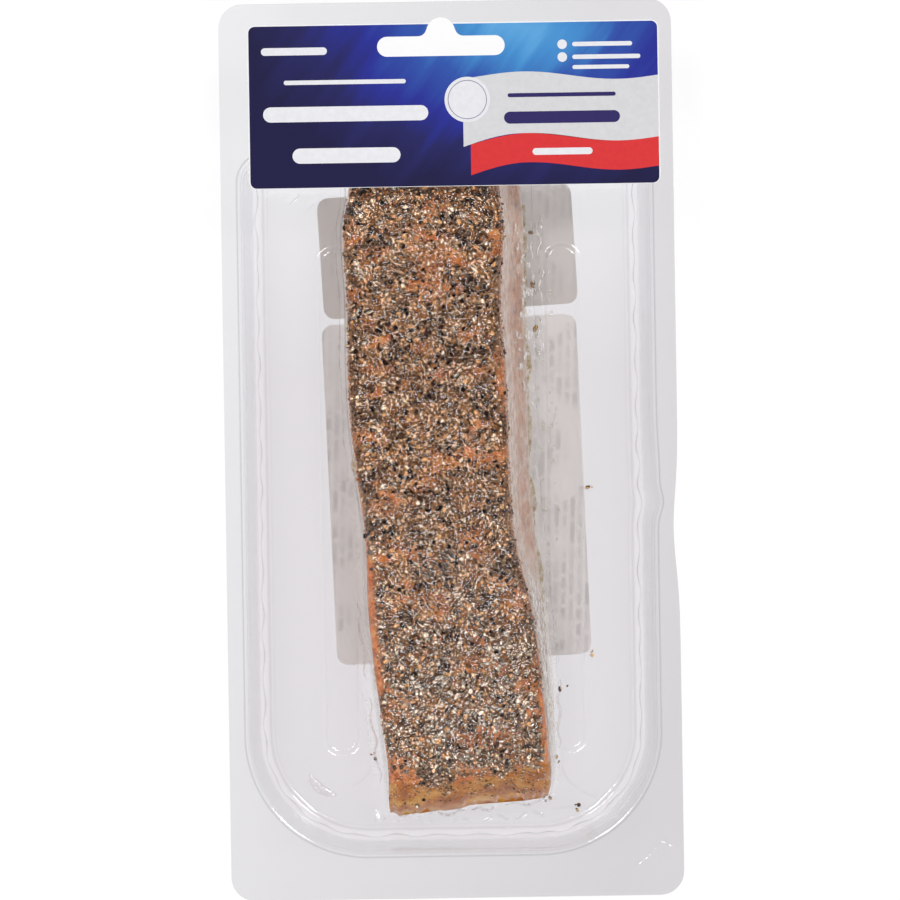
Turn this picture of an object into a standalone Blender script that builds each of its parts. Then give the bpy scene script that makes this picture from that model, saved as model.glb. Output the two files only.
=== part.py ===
"""Hot smoked salmon fillet with a cracked pepper crust, in a clear skin pack.

The pack lies on its back. X runs across it, +Y to the header with the hang slot, and +Z out of the front.
The origin is under the middle of the pack, on the surface that it lies on. A thermoformed tray holds the
fillet in a well, a skin film is drawn down over both, a printed label is stuck on the header, and two
paper labels are stuck to the underside of the well.
"""

import math
import random

import bmesh
import bpy
import numpy as np
from mathutils import Vector, noise

MM = 0.001

# Outline of the pack, the same for the tray and the film
PACK_WIDTH = 113.2 * MM
PACK_LENGTH = 224.2 * MM
PACK_CORNER_RADIUS = 6.0 * MM
DENT_DEPTH = 1.3 * MM
DENT_Y = -20.5 * MM
DENT_SPREAD = 13.0 * MM

# Heights of the layers
TOUCH_GAP = 0.3 * MM
PAPER_THICKNESS = 0.2 * MM
TRAY_WALL = 0.5 * MM
FILM_THICKNESS = 0.3 * MM
FLOOR_TOP = PAPER_THICKNESS + TOUCH_GAP + TRAY_WALL
WELL_DEPTH = 25.0 * MM
FLANGE_TOP = FLOOR_TOP + WELL_DEPTH
FILM_UNDER = TOUCH_GAP
FILM_OVER = TOUCH_GAP + FILM_THICKNESS

# Well of the tray: its rim outline and the section from the flange down to the floor
WELL_LEFT = -51.4 * MM
WELL_RIGHT = 50.2 * MM
WELL_BOTTOM = -100.4 * MM
WELL_TOP = 74.0 * MM
WELL_BOTTOM_RADIUS = 29.5 * MM
WELL_TOP_RADIUS = 7.0 * MM
TOP_RADIUS_LOSS = 0.8
RIM_RADIUS = 1.2 * MM
FLOOR_RADIUS = 2.5 * MM
WALL_DRAFT = math.radians(7.5)

# Two stiffening ribs pressed up into the floor of the well
RIB_X = 28.6 * MM
RIB_LOW_Y = -76.8 * MM
RIB_HIGH_Y = 51.7 * MM
RIB_HALF_WIDTH = 4.6 * MM
RIB_HEIGHT = 1.8 * MM
RIB_SLOPE = 0.5

# Hang slot: a bar with rounded ends and a hump on its middle
SLOT_X = -1.0 * MM
SLOT_WIDTH = 31.9 * MM
SLOT_LOW_Y = 98.4 * MM
SLOT_BAR_HEIGHT = 5.0 * MM
SLOT_TOP_Y = 108.1 * MM
HUMP_RADIUS = 3.55 * MM
HUMP_FLARE = 2.15 * MM

# Labels
HEADER_LABEL_LEFT = -49.4 * MM
HEADER_LABEL_RIGHT = 53.4 * MM
HEADER_LABEL_BOTTOM = 65.8 * MM
HEADER_LABEL_TOP = 106.7 * MM
HEADER_LABEL_RADIUS = 1.9 * MM
BACK_LABEL_WIDTH = 64.3 * MM
BACK_LABEL_RADIUS = 2.8 * MM
LOWER_LABEL_LENGTH = 86.0 * MM
LOWER_LABEL_CENTRE = (1.2 * MM, -10.1 * MM)
LOWER_LABEL_TURN = math.radians(1.8)
UPPER_LABEL_LENGTH = 30.6 * MM
UPPER_LABEL_CENTRE = (-0.2 * MM, 50.2 * MM)
UPPER_LABEL_TURN = math.radians(2.9)

# Fillet: at each Y, the crust's left and right edge, the foot of the right flank, and the thickness, in mm
FILLET_BASE = FLOOR_TOP + TOUCH_GAP
FILLET_STATIONS = (
    (-90.3, -16.5, 22.6, 23.0, 3.4),
    (-89.0, -16.8, 23.1, 23.5, 7.4),
    (-87.0, -16.9, 23.4, 23.9, 11.6),
    (-83.8, -16.9, 23.5, 24.1, 16.2),
    (-79.0, -17.0, 23.4, 24.2, 19.8),
    (-70.0, -18.1, 22.9, 24.2, 21.2),
    (-52.0, -20.3, 21.2, 23.7, 21.8),
    (-38.0, -21.4, 19.1, 22.6, 22.2),
    (-22.0, -21.7, 15.0, 21.4, 22.4),
    (-8.0, -23.5, 14.2, 20.2, 22.5),
    (12.0, -25.4, 13.7, 19.9, 22.4),
    (38.0, -25.6, 12.4, 19.5, 22.2),
    (54.0, -26.3, 13.4, 19.5, 21.9),
    (63.0, -25.0, 12.6, 19.2, 21.4),
    (66.6, -24.4, 12.0, 18.8, 19.8),
    (67.6, -23.8, 11.4, 18.2, 16.5),
)
END_SKEW = 0.075
END_CROWDING = 0.08
FLANK_TUCK = 3.4 * MM
FOOT_TUCK = 2.0 * MM
EDGE_ROUND = 2.6 * MM
CROWN = 0.9 * MM
CRUST_RELIEF = 0.55 * MM
FILLET_SECTIONS = 38
CORNER_STEPS = (1, 1, 1, 1, 2, 2, 1, 1)
CRUST_CORNER = 4
CRUST_POINTS = 9
SKIN_CRUST_POINTS = 4

# Largest pepper grains, fused to the crust
GRAIN_COUNT = 145
GRAIN_RADIUS = (0.95 * MM, 1.3 * MM)
GRAIN_SPACING = 4.7 * MM
GRAIN_SINK = 0.1
GRAIN_SEED = 11

# Where the skin film lies over the fillet, up to where it bridges to the head wall of the well
SKIN_OVER_CRUST = 1.5 * MM
SKIN_FLARE = 0.6 * MM
SKIN_SECTIONS = 18
BRIDGE_FROM_Y = 63.0 * MM

CLEAR_PLASTIC = (0.88, 0.88, 0.90, 1.0)
PRINTED_NAVY = (0.03, 0.03, 0.14, 1.0)
WHITE_PAPER = (0.80, 0.80, 0.80, 1.0)
PEPPERED_FLESH = (0.34, 0.17, 0.09, 1.0)


def clear_scene():
    for obj in list(bpy.data.objects):
        bpy.data.objects.remove(obj, do_unlink=True)


def new_collection(name):
    collection = bpy.data.collections.new(name)
    bpy.context.scene.collection.children.link(collection)
    return collection


def plain_material(name, colour, roughness, alpha=1.0):
    material = bpy.data.materials.new(name)
    material.use_nodes = True
    shader = material.node_tree.nodes["Principled BSDF"]
    shader.inputs["Base Color"].default_value = colour
    shader.inputs["Roughness"].default_value = roughness
    shader.inputs["Metallic"].default_value = 0.0
    shader.inputs["Alpha"].default_value = alpha
    return material


def mesh_object(name, bm, collection):
    """A new object from a bmesh whose faces are turned to point out."""
    bmesh.ops.recalc_face_normals(bm, faces=bm.faces)
    mesh = bpy.data.meshes.new(name)
    bm.to_mesh(mesh)
    bm.free()
    obj = bpy.data.objects.new(name, mesh)
    collection.objects.link(obj)
    return obj


def arc(centre_x, centre_y, radius, start, end, steps):
    """Points on an arc, with its two ends, from one angle in degrees to another."""
    angles = np.radians(np.linspace(start, end, steps + 1))
    return [(centre_x + radius * math.cos(a), centre_y + radius * math.sin(a)) for a in angles]


def rounded_box(left, right, bottom, top, bottom_radius, top_radius, steps):
    """A rectangle's outline with round corners, anticlockwise from its bottom right corner."""
    low = bottom + bottom_radius
    high = top - top_radius
    return (
        arc(right - bottom_radius, low, bottom_radius, 270, 360, steps)
        + arc(right - top_radius, high, top_radius, 0, 90, steps)
        + arc(left + top_radius, high, top_radius, 90, 180, steps)
        + arc(left + bottom_radius, low, bottom_radius, 180, 270, steps)
    )


def pack_outline():
    """The die cut outline, whose right side is dented."""
    half_width = PACK_WIDTH / 2
    half_length = PACK_LENGTH / 2
    radius = PACK_CORNER_RADIUS
    corners = rounded_box(-half_width, half_width, -half_length, half_length, radius, radius, 5)
    low_corner = corners[:6]
    side = []
    for y in np.linspace(DENT_Y - 2.4 * DENT_SPREAD, DENT_Y + 2.4 * DENT_SPREAD, 15):
        dent = DENT_DEPTH * math.exp(-(((y - DENT_Y) / DENT_SPREAD) ** 2))
        side.append((half_width - dent, float(y)))
    return low_corner + side + corners[6:]


def slot_outline():
    """The hang slot's outline, anticlockwise from its right end."""
    end_radius = SLOT_BAR_HEIGHT / 2
    half_bar = SLOT_WIDTH / 2 - end_radius
    middle_y = SLOT_LOW_Y + end_radius
    bar_top = SLOT_LOW_Y + SLOT_BAR_HEIGHT
    flare_x = HUMP_RADIUS + HUMP_FLARE
    return (
        arc(SLOT_X + half_bar, middle_y, end_radius, -90, 90, 8)
        + arc(SLOT_X + flare_x, bar_top + HUMP_FLARE, HUMP_FLARE, 270, 180, 4)
        + arc(SLOT_X, SLOT_TOP_Y - HUMP_RADIUS, HUMP_RADIUS, 0, 180, 10)
        + arc(SLOT_X - flare_x, bar_top + HUMP_FLARE, HUMP_FLARE, 0, -90, 4)
        + arc(SLOT_X - half_bar, middle_y, end_radius, 90, 270, 8)
    )


def rib_outline(side, clear, rise):
    """A rib's outline at a height above its foot, widened by the clearance."""
    half_width = RIB_HALF_WIDTH + clear - RIB_SLOPE * rise
    x = side * RIB_X
    low = RIB_LOW_Y + RIB_HALF_WIDTH
    high = RIB_HIGH_Y - RIB_HALF_WIDTH
    return arc(x, high, half_width, 0, 180, 8) + arc(x, low, half_width, 180, 360, 8)


def well_outline(inset):
    """The well's outline at a distance inside its rim."""
    return rounded_box(
        WELL_LEFT + inset,
        WELL_RIGHT - inset,
        WELL_BOTTOM + inset,
        WELL_TOP - inset,
        WELL_BOTTOM_RADIUS - inset,
        WELL_TOP_RADIUS - TOP_RADIUS_LOSS * inset,
        9,
    )


def well_section(clear):
    """Inset and height from the flange down to the floor, at a distance off the tray's inner face."""
    cos_draft = math.cos(WALL_DRAFT)
    sin_draft = math.sin(WALL_DRAFT)
    wall_top = FLANGE_TOP - RIM_RADIUS * (1 - sin_draft)
    wall_foot = FLOOR_TOP + FLOOR_RADIUS * (1 - sin_draft)
    wall_run = (wall_top - wall_foot) * math.tan(WALL_DRAFT)
    floor_inset = -RIM_RADIUS * (1 - cos_draft) + wall_run + FLOOR_RADIUS * cos_draft
    draft = math.degrees(WALL_DRAFT)
    rim = arc(-RIM_RADIUS, FLANGE_TOP - RIM_RADIUS, RIM_RADIUS + clear, 90, draft, 3)
    foot = arc(floor_inset, FLOOR_TOP + FLOOR_RADIUS, FLOOR_RADIUS - clear, 180 + draft, 270, 3)
    return rim + foot


def loft(name, rings, collection):
    """A closed solid through rings with the same number of points."""
    bm = bmesh.new()
    loops = [[bm.verts.new(point) for point in ring] for ring in rings]
    count = len(loops[0])
    for near, far in zip(loops, loops[1:]):
        for i in range(count):
            j = (i + 1) % count
            bm.faces.new((near[i], near[j], far[j], far[i]))
    bm.faces.new(loops[0])
    bm.faces.new(loops[-1])
    return mesh_object(name, bm, collection)


def plate(name, outline, low, high, collection):
    """A flat outline with a thickness."""
    rings = [[(x, y, z) for x, y in outline] for z in (low, high)]
    return loft(name, rings, collection)


def well_block(name, clear, top, collection):
    """The well as a solid, its faces at a distance off the tray's inner face, run on up to a height."""
    section = well_section(clear)
    (inset_a, z_a), (inset_b, z_b) = section[0], section[1]
    slope = (inset_a - inset_b) / (z_a - z_b)
    levels = [(inset_b + slope * (top - z_b), top)] + section[1:]
    rings = [[(x, y, z) for x, y in well_outline(inset)] for inset, z in levels]
    return loft(name, rings, collection)


def rib_block(name, side, clear, collection):
    """A rib as a solid, run on down below the pack so that it also cuts its groove."""
    height = RIB_HEIGHT + clear
    rings = []
    for rise, z in ((0.0, -2 * MM), (0.0, FLOOR_TOP), (height, FLOOR_TOP + height)):
        rings.append([(x, y, z) for x, y in rib_outline(side, clear, rise)])
    return loft(name, rings, collection)


def boolean(obj, other, operation):
    modifier = obj.modifiers.new(other.name, "BOOLEAN")
    modifier.operation = operation
    modifier.solver = "EXACT"
    if isinstance(other, bpy.types.Collection):
        modifier.operand_type = "COLLECTION"
        modifier.collection = other
    else:
        modifier.object = other
    return modifier


def apply_modifiers(obj):
    """Keeps the object's evaluated mesh in place of its modifiers."""
    graph = bpy.context.evaluated_depsgraph_get()
    mesh = bpy.data.meshes.new_from_object(obj.evaluated_get(graph))
    obj.modifiers.clear()
    obj.data = mesh


def as_cutter(obj):
    obj.hide_render = True
    obj.display_type = "WIRE"
    return obj


def finish_part(obj, material, sharp_degrees=35.0):
    obj.data.materials.clear()
    obj.data.materials.append(material)
    obj.data.shade_smooth()
    obj.data.set_sharp_from_angle(angle=math.radians(sharp_degrees))


def make_tray(parts, cutters):
    """Flange, well, ribs and hang slot, as one thermoformed sheet."""
    flange_low = FLANGE_TOP - TRAY_WALL
    tray = plate("tray", pack_outline(), flange_low, FLANGE_TOP, parts)
    outer = as_cutter(well_block("tray_well_outside", -TRAY_WALL, FLANGE_TOP - TRAY_WALL / 2, cutters))
    inner = as_cutter(well_block("tray_well_inside", 0.0, FLANGE_TOP + 0.5 * MM, cutters))
    slot = as_cutter(plate("tray_slot", slot_outline(), flange_low - 1 * MM, FLANGE_TOP + 1 * MM, cutters))
    boolean(tray, outer, "UNION")
    for side in (-1, 1):
        rib = as_cutter(rib_block(f"tray_rib_{side}", side, 0.0, cutters))
        groove = as_cutter(rib_block(f"tray_groove_{side}", side, -TRAY_WALL, cutters))
        boolean(inner, rib, "DIFFERENCE")
        boolean(tray, groove, "DIFFERENCE")
    boolean(tray, inner, "DIFFERENCE")
    boolean(tray, slot, "DIFFERENCE")
    finish_part(tray, plain_material("clear_thermoformed_sheet", CLEAR_PLASTIC, 0.08, 0.25))


def fillet_station(y):
    """Left, right, foot and thickness of the fillet at Y, by a smooth curve through the stations."""
    table = np.array(FILLET_STATIONS)
    keys = table[:, 0]
    y_mm = min(max(y / MM, keys[0]), keys[-1])
    i = min(int(np.searchsorted(keys, y_mm, side="right")) - 1, len(keys) - 2)
    before = table[max(i - 1, 0)]
    after = table[min(i + 2, len(keys) - 1)]
    low, high = table[i], table[i + 1]
    span = high[0] - low[0]
    t = (y_mm - low[0]) / span
    slope_low = (high - before) / (high[0] - before[0]) * span
    slope_high = (after - low) / (after[0] - low[0]) * span
    blend = (
        (2 * t**3 - 3 * t**2 + 1) * low
        + (t**3 - 2 * t**2 + t) * slope_low
        + (3 * t**2 - 2 * t**3) * high
        + (t**3 - t**2) * slope_high
    )
    return blend[1:] * MM


def round_corner(before, corner, after, radius, steps):
    """Points that round a corner between two others, as a quadratic curve."""
    corner = np.array(corner)
    start = corner + (np.array(before) - corner) * min(radius / math.dist(before, corner), 0.45)
    end = corner + (np.array(after) - corner) * min(radius / math.dist(after, corner), 0.45)
    return [(1 - t) ** 2 * start + 2 * t * (1 - t) * corner + t**2 * end for t in np.linspace(0, 1, steps + 1)]


def fillet_section(y, skin):
    """The section at Y in X and Z, anticlockwise seen from the tail, of the fillet or of the skin over it."""
    left, right, foot, thickness = fillet_station(y)
    tuck = -SKIN_FLARE if skin else min(FLANK_TUCK, 0.3 * thickness)
    foot_tuck = -SKIN_FLARE if skin else min(FOOT_TUCK, 0.3 * thickness)
    low = FILLET_BASE
    top = FILLET_BASE + thickness
    crown = CROWN * min(1.0, thickness / (20 * MM))
    round_radius = EDGE_ROUND * min(1.0, thickness / (12 * MM))
    corners = [
        (left + tuck, low),
        (foot - foot_tuck, low),
        (foot, low + 0.22 * thickness),
        (right + 0.35 * (foot - right), low + 0.62 * thickness),
        (right, top - crown),
        (left, top - crown),
        (left - 0.2 * MM, low + 0.5 * thickness),
        (left + 0.15 * tuck, low + 0.22 * thickness),
    ]
    section = []
    for i, (corner, steps) in enumerate(zip(corners, CORNER_STEPS)):
        after = corners[(i + 1) % len(corners)]
        section += round_corner(corners[i - 1], corner, after, round_radius, steps)
        if i == CRUST_CORNER:
            for u in np.linspace(0, 1, (SKIN_CRUST_POINTS if skin else CRUST_POINTS) + 2)[1:-1]:
                x = right + (left - right) * (0.06 + 0.88 * u)
                section.append(np.array([x, top - crown * (2 * u - 1) ** 2]))
    return np.array(section)


def skewed(x, y):
    """Y drawn back towards the right of the tail, whose cut isn't square."""
    near_tail = min(max((-60 * MM - y) / (28 * MM), 0.0), 1.0)
    return y + END_SKEW * near_tail * (x + 16 * MM)


def crust_height(x, y, up):
    """Lumps and hollows of the crust, strongest where the surface faces up."""
    broad = noise.noise(Vector((x, y, 0.0)) / (9 * MM))
    fine = noise.noise(Vector((x + 1.0, y, 0.0)) / (3.6 * MM))
    return CRUST_RELIEF * max(up, 0.0) * (0.65 * broad + 0.6 * fine)


def fillet_rings(last, sections, offset, skin):
    """Sections from the tail up to a Y, closer near both ends, pushed out by an offset."""
    first = FILLET_STATIONS[0][0] * MM
    steps = np.linspace(0.0, 1.0, sections)
    places = first + (last - first) * (steps - END_CROWDING * np.sin(2 * math.pi * steps))
    rings = []
    for y in places:
        section = fillet_section(float(y), skin)
        ahead = np.roll(section, -1, axis=0) - np.roll(section, 1, axis=0)
        normal = np.column_stack([ahead[:, 1], -ahead[:, 0]])
        normal /= np.linalg.norm(normal, axis=1)[:, None]
        ring = []
        for (x, z), (normal_x, normal_z) in zip(section, normal):
            out = offset
            if not skin:
                out += crust_height(x, y, normal_z)
            ring.append((x + normal_x * out, skewed(x, float(y)), z + normal_z * out))
        rings.append(ring)
    return rings


def fillet_solid(name, collection):
    last = FILLET_STATIONS[-1][0] * MM
    return loft(name, fillet_rings(last, FILLET_SECTIONS, 0.0, False), collection)


def skin_tent(name, offset, collection):
    """The fillet's form without its relief, grown by an offset and run on through the head wall of the well."""
    rings = fillet_rings(BRIDGE_FROM_Y, SKIN_SECTIONS, offset, True)
    tail = [(x, y - offset, z) for x, y, z in rings[0]]
    head = [(x, WELL_TOP + 1 * MM, z) for x, y, z in rings[-1]]
    return loft(name, [tail] + rings + [head], collection)


def grain_places(tree_object):
    """Even but random places on the crust, with the surface normal at each."""
    rng = random.Random(GRAIN_SEED)
    first = FILLET_STATIONS[0][0] * MM
    last = FILLET_STATIONS[-1][0] * MM
    found = []
    for _ in range(20000):
        y = rng.uniform(first + 12 * MM, last - 2.5 * MM)
        left, right, _, _ = fillet_station(y)
        x = rng.uniform(left + 1.2 * MM, right - 1.2 * MM)
        if any(math.dist((x, y), place[:2]) < GRAIN_SPACING for place, _ in found):
            continue
        hit, point, normal, _ = tree_object.ray_cast(Vector((x, y, 60 * MM)), Vector((0, 0, -1)))
        if hit:
            found.append((point.copy(), normal.copy()))
        if len(found) == GRAIN_COUNT:
            break
    return found, rng


def add_grains(fillet, collection):
    """Lays cracked pepper grains on the crust and fuses them to it."""
    places, rng = grain_places(fillet)
    for number, (point, normal) in enumerate(places):
        radius = rng.uniform(*GRAIN_RADIUS)
        bm = bmesh.new()
        bmesh.ops.create_icosphere(bm, subdivisions=1, radius=radius)
        for vert in bm.verts:
            vert.co *= rng.uniform(0.85, 1.12)
        grain = mesh_object(f"grain_{number}", bm, collection)
        grain.scale = (1.0, rng.uniform(0.75, 1.0), 0.78)
        grain.rotation_euler = normal.to_track_quat("Z", "Y").to_euler()
        grain.rotation_euler.rotate_axis("Z", rng.uniform(0, 2 * math.pi))
        grain.location = point - normal * radius * GRAIN_SINK
    bpy.context.view_layer.update()
    boolean(fillet, collection, "UNION")
    apply_modifiers(fillet)
    for grain in list(collection.objects):
        bpy.data.objects.remove(grain, do_unlink=True)
    bpy.data.collections.remove(collection)


def make_fillet(parts):
    fillet = fillet_solid("salmon_fillet", parts)
    add_grains(fillet, new_collection("pepper_grains"))
    finish_part(fillet, plain_material("peppered_hot_smoked_salmon", PEPPERED_FLESH, 0.45), 40.0)


def make_film(parts, cutters):
    """Skin film over the flange, down the walls and over the floor, ribs and fillet."""
    low = FLANGE_TOP + FILM_UNDER
    high = FLANGE_TOP + FILM_OVER
    film = plate("skin_film", pack_outline(), low, high, parts)
    outer = as_cutter(well_block("film_well_outside", FILM_UNDER, low + FILM_THICKNESS / 2, cutters))
    inner = as_cutter(well_block("film_well_inside", FILM_OVER, high + 0.5 * MM, cutters))
    slot = as_cutter(plate("film_slot", slot_outline(), low - 1 * MM, high + 1 * MM, cutters))
    over_fillet = as_cutter(skin_tent("film_over_fillet", SKIN_OVER_CRUST + FILM_THICKNESS, cutters))
    under_film = as_cutter(skin_tent("room_for_fillet", SKIN_OVER_CRUST, cutters))
    boolean(film, outer, "UNION")
    for side in (-1, 1):
        rib = as_cutter(rib_block(f"film_rib_{side}", side, FILM_OVER, cutters))
        groove = as_cutter(rib_block(f"film_groove_{side}", side, FILM_UNDER, cutters))
        boolean(inner, rib, "DIFFERENCE")
        boolean(film, groove, "DIFFERENCE")
    boolean(inner, over_fillet, "DIFFERENCE")
    boolean(film, inner, "DIFFERENCE")
    boolean(film, under_film, "DIFFERENCE")
    boolean(film, slot, "DIFFERENCE")
    finish_part(film, plain_material("clear_skin_film", CLEAR_PLASTIC, 0.05, 0.15))


def make_header_label(parts, cutters):
    """Printed label on the header, open where the hang slot's hump passes its top edge."""
    low = FLANGE_TOP + FILM_OVER + TOUCH_GAP
    high = low + PAPER_THICKNESS
    outline = rounded_box(
        HEADER_LABEL_LEFT,
        HEADER_LABEL_RIGHT,
        HEADER_LABEL_BOTTOM,
        HEADER_LABEL_TOP,
        HEADER_LABEL_RADIUS,
        HEADER_LABEL_RADIUS,
        5,
    )
    label = plate("header_label", outline, low, high, parts)
    slot = as_cutter(plate("label_slot", slot_outline(), low - 1 * MM, high + 1 * MM, cutters))
    boolean(label, slot, "DIFFERENCE")
    finish_part(label, plain_material("printed_gloss_label", PRINTED_NAVY, 0.25))


def make_back_label(name, length, centre, turn, material, parts):
    """Paper label on the underside of the well."""
    half_width = BACK_LABEL_WIDTH / 2
    half_length = length / 2
    radius = BACK_LABEL_RADIUS
    outline = rounded_box(-half_width, half_width, -half_length, half_length, radius, radius, 4)
    label = plate(name, outline, 0.0, PAPER_THICKNESS, parts)
    label.location = (centre[0], centre[1], 0.0)
    label.rotation_euler = (0.0, 0.0, turn)
    finish_part(label, material)


def main():
    clear_scene()
    parts = new_collection("salmon_skin_pack")
    cutters = new_collection("cutters")
    cutters.hide_render = True
    make_tray(parts, cutters)
    make_fillet(parts)
    make_film(parts, cutters)
    make_header_label(parts, cutters)
    paper = plain_material("white_label_paper", WHITE_PAPER, 0.6)
    make_back_label(
        "back_label_upper", UPPER_LABEL_LENGTH, UPPER_LABEL_CENTRE, UPPER_LABEL_TURN, paper, parts
    )
    make_back_label(
        "back_label_lower", LOWER_LABEL_LENGTH, LOWER_LABEL_CENTRE, LOWER_LABEL_TURN, paper, parts
    )


main()
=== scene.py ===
"""Looks of a peppered hot smoked salmon fillet in its clear skin pack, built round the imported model.

The pack lies on its back: X runs across it, +Y to the header with the hang slot, and +Z out of the front.
"""

import math
from functools import lru_cache

import bmesh
import bpy
import numpy as np
from bpy.props import FloatProperty, FloatVectorProperty, IntProperty, PointerProperty
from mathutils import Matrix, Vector, noise
from mathutils.geometry import delaunay_2d_cdt


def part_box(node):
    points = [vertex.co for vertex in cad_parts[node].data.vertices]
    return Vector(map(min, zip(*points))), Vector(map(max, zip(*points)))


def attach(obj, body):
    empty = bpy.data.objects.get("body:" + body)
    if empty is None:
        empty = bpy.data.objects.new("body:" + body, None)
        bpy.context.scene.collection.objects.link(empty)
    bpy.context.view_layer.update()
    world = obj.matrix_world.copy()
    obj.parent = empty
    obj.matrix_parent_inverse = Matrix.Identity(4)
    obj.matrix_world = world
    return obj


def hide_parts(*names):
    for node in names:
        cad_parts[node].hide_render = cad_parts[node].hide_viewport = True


bl_info = {
    "name": "Peppered Salmon Skin Pack",
    "version": (1, 0, 0),
    "blender": (4, 5, 0),
    "location": "3D View > Sidebar > Salmon Pack",
    "description": "Dresses the packed model of a hot smoked salmon fillet in a clear skin pack",
    "category": "Add Mesh",
}

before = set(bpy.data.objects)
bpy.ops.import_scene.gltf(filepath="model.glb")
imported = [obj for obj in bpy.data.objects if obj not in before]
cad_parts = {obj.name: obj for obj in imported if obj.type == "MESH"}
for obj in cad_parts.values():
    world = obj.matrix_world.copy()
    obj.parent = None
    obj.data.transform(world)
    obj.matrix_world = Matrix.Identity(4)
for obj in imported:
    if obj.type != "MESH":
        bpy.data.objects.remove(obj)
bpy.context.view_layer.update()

MM = 0.001

# Heights and outline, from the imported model, and the dent and the bump in the right side
TRAY_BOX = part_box("tray")
FILM_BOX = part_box("skin_film")
LABEL_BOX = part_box("header_label")
FLANGE_TOP = TRAY_BOX[1].z
FLANGE_THICKNESS = 0.5 * MM
FLOOR_TOP = TRAY_BOX[0].z + FLANGE_THICKNESS
FILM_FLANGE = FILM_BOX[1].z
FILM_CLEAR = FILM_FLANGE - FLANGE_TOP
FILM_FLOOR = FILM_BOX[0].z + 0.15 * MM
PACK_HALF_WIDTH = TRAY_BOX[1].x
PACK_HALF_LENGTH = TRAY_BOX[1].y
PACK_CORNER_RADIUS = 6.0 * MM
DENT_DEPTH = 1.3 * MM
DENT_Y = -20.5 * MM
DENT_SPREAD = 13.0 * MM
KINK_DEPTH = 1.1 * MM
KINK_Y = -14.0 * MM
KINK_SPREAD = 3.2 * MM
KINK_TRAIL = 7.0 * MM
KINK_TRAIL_SPREAD = 9.0 * MM

# Well of the tray
WELL_LEFT = -51.4 * MM
WELL_RIGHT = 50.2 * MM
WELL_BOTTOM = -100.4 * MM
WELL_TOP = 74.0 * MM
WELL_BOTTOM_RADIUS = 29.5 * MM
WELL_TOP_RADIUS = 7.0 * MM
TOP_RADIUS_LOSS = 0.8
RIM_RADIUS = 1.2 * MM
FLOOR_RADIUS = 2.5 * MM
WALL_DRAFT = math.radians(7.5)
RIB_X = 28.6 * MM
RIB_LOW_Y = -76.8 * MM
RIB_HIGH_Y = 51.7 * MM
RIB_HALF_WIDTH = 4.6 * MM
RIB_HEIGHT = 1.8 * MM
RIB_FOOT = 0.2 * MM
RIB_SLOPE = 1.1 * MM
RIB_STEPS = np.array([0.6, 0.22, 0.0, -0.3, -0.6, -0.9, -1.3])
GUARD = 0.4 * MM
RIM_STEPS = 6
FLOOR_STEPS = 7

# Hang slot and header label
SLOT_X = -1.0 * MM
SLOT_WIDTH = 31.9 * MM
SLOT_LOW_Y = 98.4 * MM
SLOT_BAR_HEIGHT = 5.0 * MM
SLOT_TOP_Y = 108.1 * MM
HUMP_RADIUS = 3.55 * MM
HUMP_FLARE = 2.15 * MM
LABEL_RADIUS = 1.9 * MM
STOCK_BORDER = 0.3 * MM

# Fillet: at each Y, the crust's left and right edge, the foot of the right flank, and the thickness, in mm
FILLET_STATIONS = (
    (-90.3, -16.5, 22.6, 23.0, 3.4),
    (-89.0, -16.8, 23.1, 23.5, 7.4),
    (-87.0, -16.9, 23.4, 23.9, 11.6),
    (-83.8, -16.9, 23.5, 24.1, 16.2),
    (-79.0, -17.0, 23.4, 24.2, 19.8),
    (-70.0, -18.1, 22.9, 24.2, 21.2),
    (-52.0, -20.3, 21.2, 23.7, 21.8),
    (-38.0, -21.4, 19.1, 22.6, 22.2),
    (-22.0, -21.7, 15.0, 21.4, 22.4),
    (-8.0, -23.5, 14.2, 20.2, 22.5),
    (12.0, -25.4, 13.7, 19.9, 22.4),
    (38.0, -25.6, 12.4, 19.5, 22.2),
    (54.0, -26.3, 13.4, 19.5, 21.9),
    (63.0, -25.0, 12.6, 19.2, 21.4),
    (66.6, -24.4, 12.0, 18.8, 19.8),
    (67.6, -23.8, 11.4, 18.2, 16.5),
)
FILLET_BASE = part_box("salmon_fillet")[0].z
END_SKEW = 0.075
TAIL_REACH = 0.9 * MM
END_CROWDING = 0.08
FLANK_TUCK = 3.4 * MM
FOOT_TUCK = 2.0 * MM
EDGE_ROUND = 2.6 * MM
CROWN = 0.9 * MM
THIN_CROWN = 20.0 * MM
THIN_EDGE = 12.0 * MM
CRUST_RELIEF = 0.55 * MM
FLAKE_RELIEF = 0.16 * MM
FLANK_BULGE = 0.2 * MM
FLESH_ROW_STEP = 0.6 * MM
FILM_ROW_STEP = 0.3 * MM
BRIDGE_FROM_Y = 63.0 * MM
BRIDGE_ROWS = 8
CRUST_LIMIT_MM = -81.4

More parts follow.
